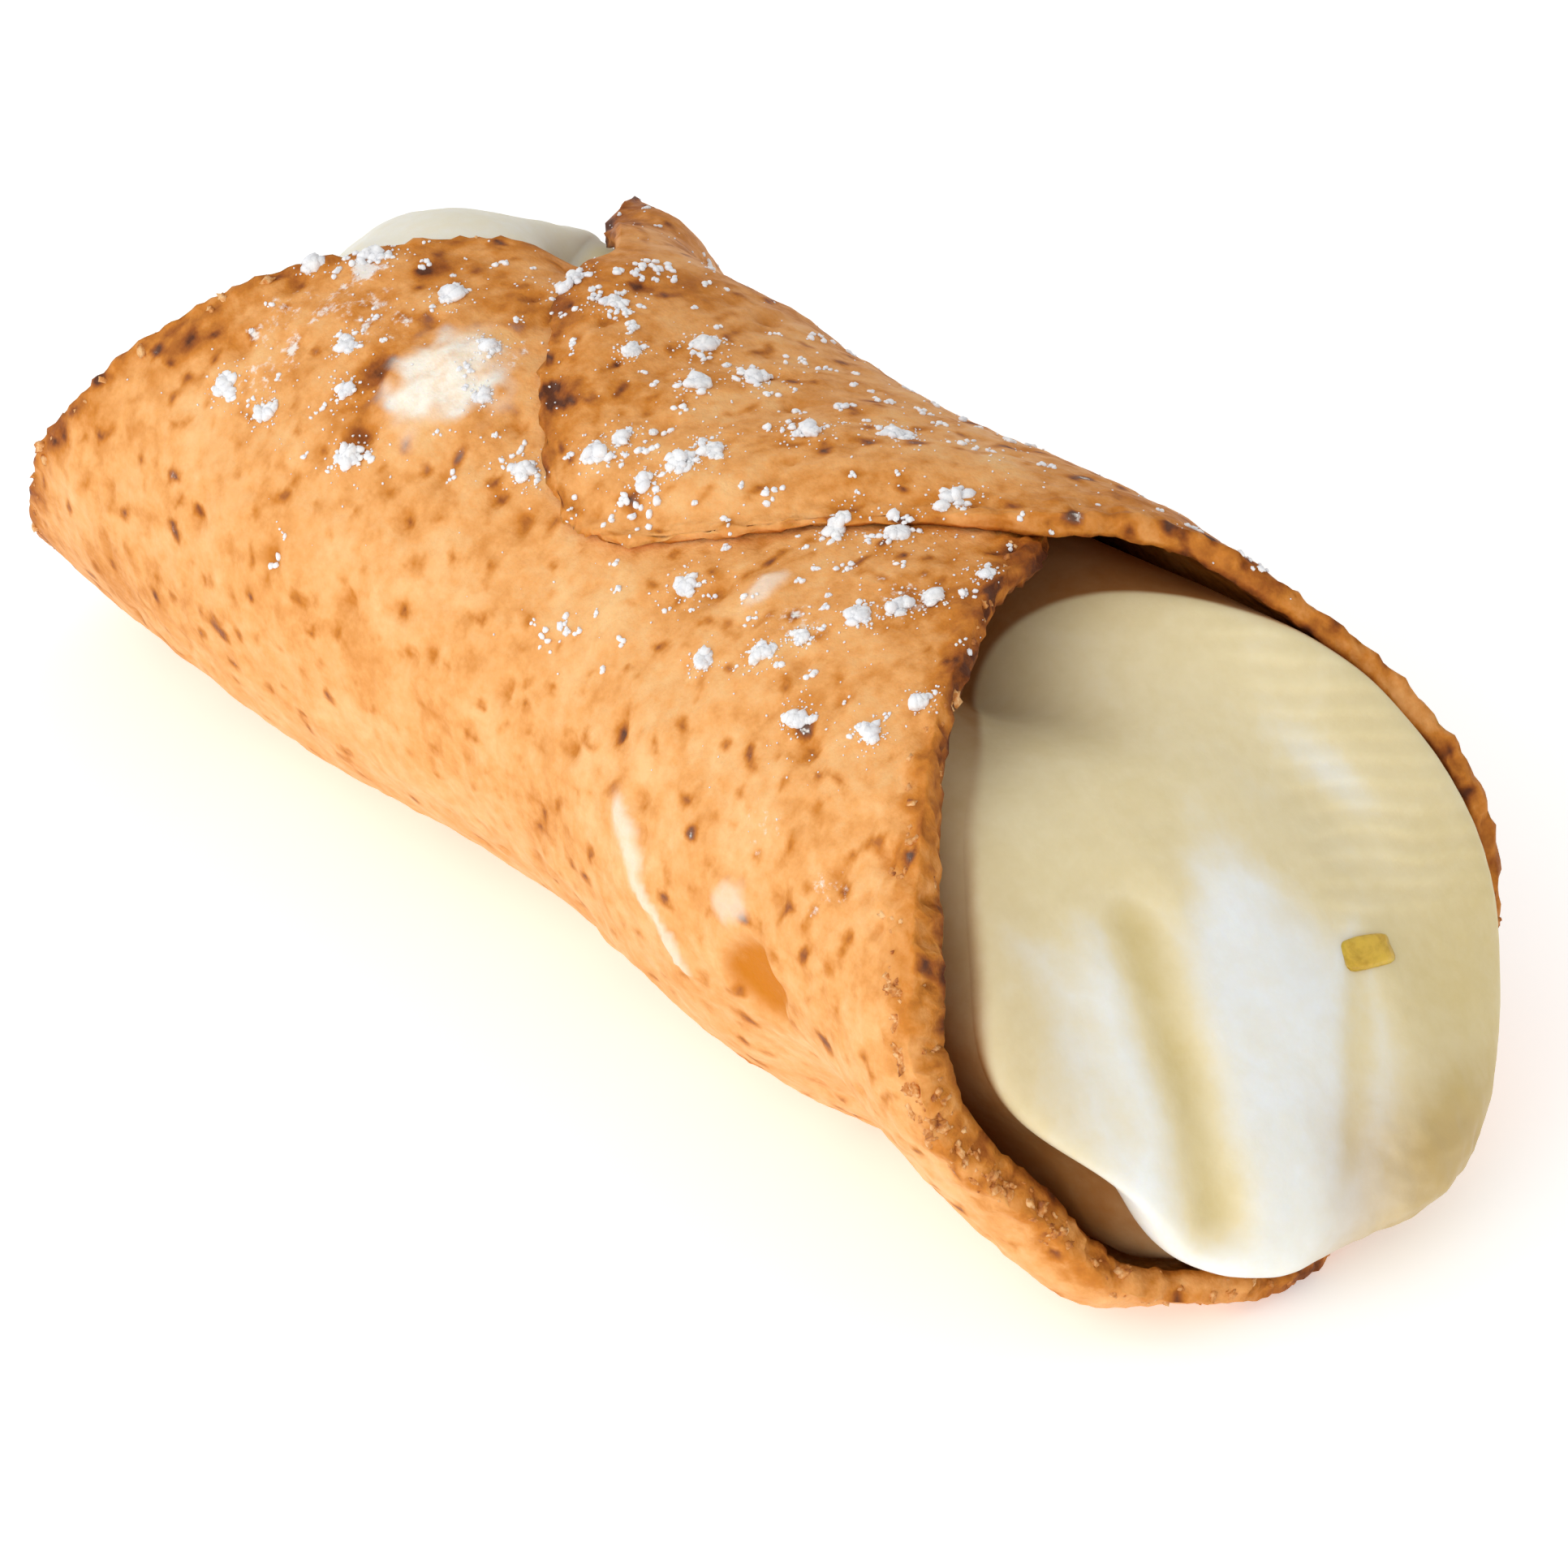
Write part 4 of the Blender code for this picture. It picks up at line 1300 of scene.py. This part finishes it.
class CreamSettings(PropertyGroup):
    """Colours of the cream, and the peel in it"""
    white: colour("White", "Where the cream bulges", (0.86, 0.88, 0.87))
    # The next two colours are painted shade: buttery where the cream lies deeper and dull yellow in its
    # folds.
    butter_shade: colour("Butter", "Where it lies deeper", (0.80, 0.69, 0.43))
    fold_shade: colour("Folds", "In the folds", (0.66, 0.52, 0.22))
    # Painted shade: dark brown on the cream in the gap against the dough.
    gap_shade: colour("Toasted", "Where it touches the dough", (0.33, 0.13, 0.03))
    peel: colour("Peel", "Candied peel", (0.70, 0.46, 0.05))
    peel_dark: colour("Dark peel", "The peel's darker parts", (0.50, 0.30, 0.02))
    peel_place: FloatVectorProperty(
        name="Peel place", description="Where the peel lies on the dome, across and up",
        size=2, default=(0.0096, 0.0174), unit="LENGTH")
    peel_turn: FloatProperty(
        name="Peel turn", description="How the peel is turned, in degrees", default=-15.0)


class SugarSettings(PropertyGroup):
    """Amount and colours of the sugar"""
    clumps: IntProperty(name="Clumps", description="Small clumps of sugar", default=190, min=0)
    grains: IntProperty(name="Grains", description="Fine grains of sugar", default=2600, min=0)
    white: colour("White", "Lit sugar", (0.93, 0.93, 0.92))
    shade: colour("Shade", "Sugar in its own shade", (0.80, 0.81, 0.86))


class StageSettings(PropertyGroup):
    """Floor, lights and camera"""
    floor: colour("Floor", "Colour of the floor", (0.90, 0.90, 0.89))
    glow: FloatProperty(name="Glow", description="Light that the floor gives off", default=0.36)
    fill: FloatProperty(name="Fill", description="Strength of the light from all round", default=0.64)
    key: FloatProperty(name="Key", description="Power of the main light", default=4.35, unit="POWER")
    front: FloatProperty(
        name="Front", description="Power of the light off the tail", default=2.0, unit="POWER")
    lens: FloatProperty(name="Lens", description="Focal length of the camera", default=254.8, unit="CAMERA")
    distance: FloatProperty(
        name="Distance", description="From the camera to the cannoli", default=0.749354, unit="LENGTH")


PIECES = ("shell", "cream", "sugar", "crumbs", "peel", "stage")


class CANNOLI_PT_panel(Panel):
    """Lists what can be built"""
    bl_idname = "CANNOLI_PT_panel"
    bl_label = "Cannoli"
    bl_space_type = "VIEW_3D"
    bl_region_type = "UI"
    bl_category = "Cannoli"

    def draw(self, context):
        for name in PIECES:
            self.layout.operator(f"cannoli.{name}")
        for group in SETTINGS:
            box = self.layout.box()
            settings = getattr(context.scene, group)
            for name in settings.bl_rna.properties.keys():
                if name not in ("rna_type", "name"):
                    box.prop(settings, name)


SETTINGS = {
    "cannoli_dough": DoughSettings,
    "cannoli_cream": CreamSettings,
    "cannoli_sugar": SugarSettings,
    "cannoli_stage": StageSettings,
}
CLASSES = (
    *SETTINGS.values(), CANNOLI_OT_shell, CANNOLI_OT_cream, CANNOLI_OT_sugar, CANNOLI_OT_crumbs,
    CANNOLI_OT_peel, CANNOLI_OT_stage, CANNOLI_PT_panel)


def register():
    """Makes the operators, the panel and the settings known."""
    for item in CLASSES:
        bpy.utils.register_class(item)
    for name, group in SETTINGS.items():
        setattr(bpy.types.Scene, name, PointerProperty(type=group))


def unregister():
    """Takes them away again."""
    for name in SETTINGS:
        delattr(bpy.types.Scene, name)
    for item in reversed(CLASSES):
        bpy.utils.unregister_class(item)


def main():
    """Builds every piece and the stage."""
    register()
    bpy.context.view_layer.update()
    for name in PIECES:
        getattr(bpy.ops.cannoli, name)()


if __name__ == "__main__":
    main()
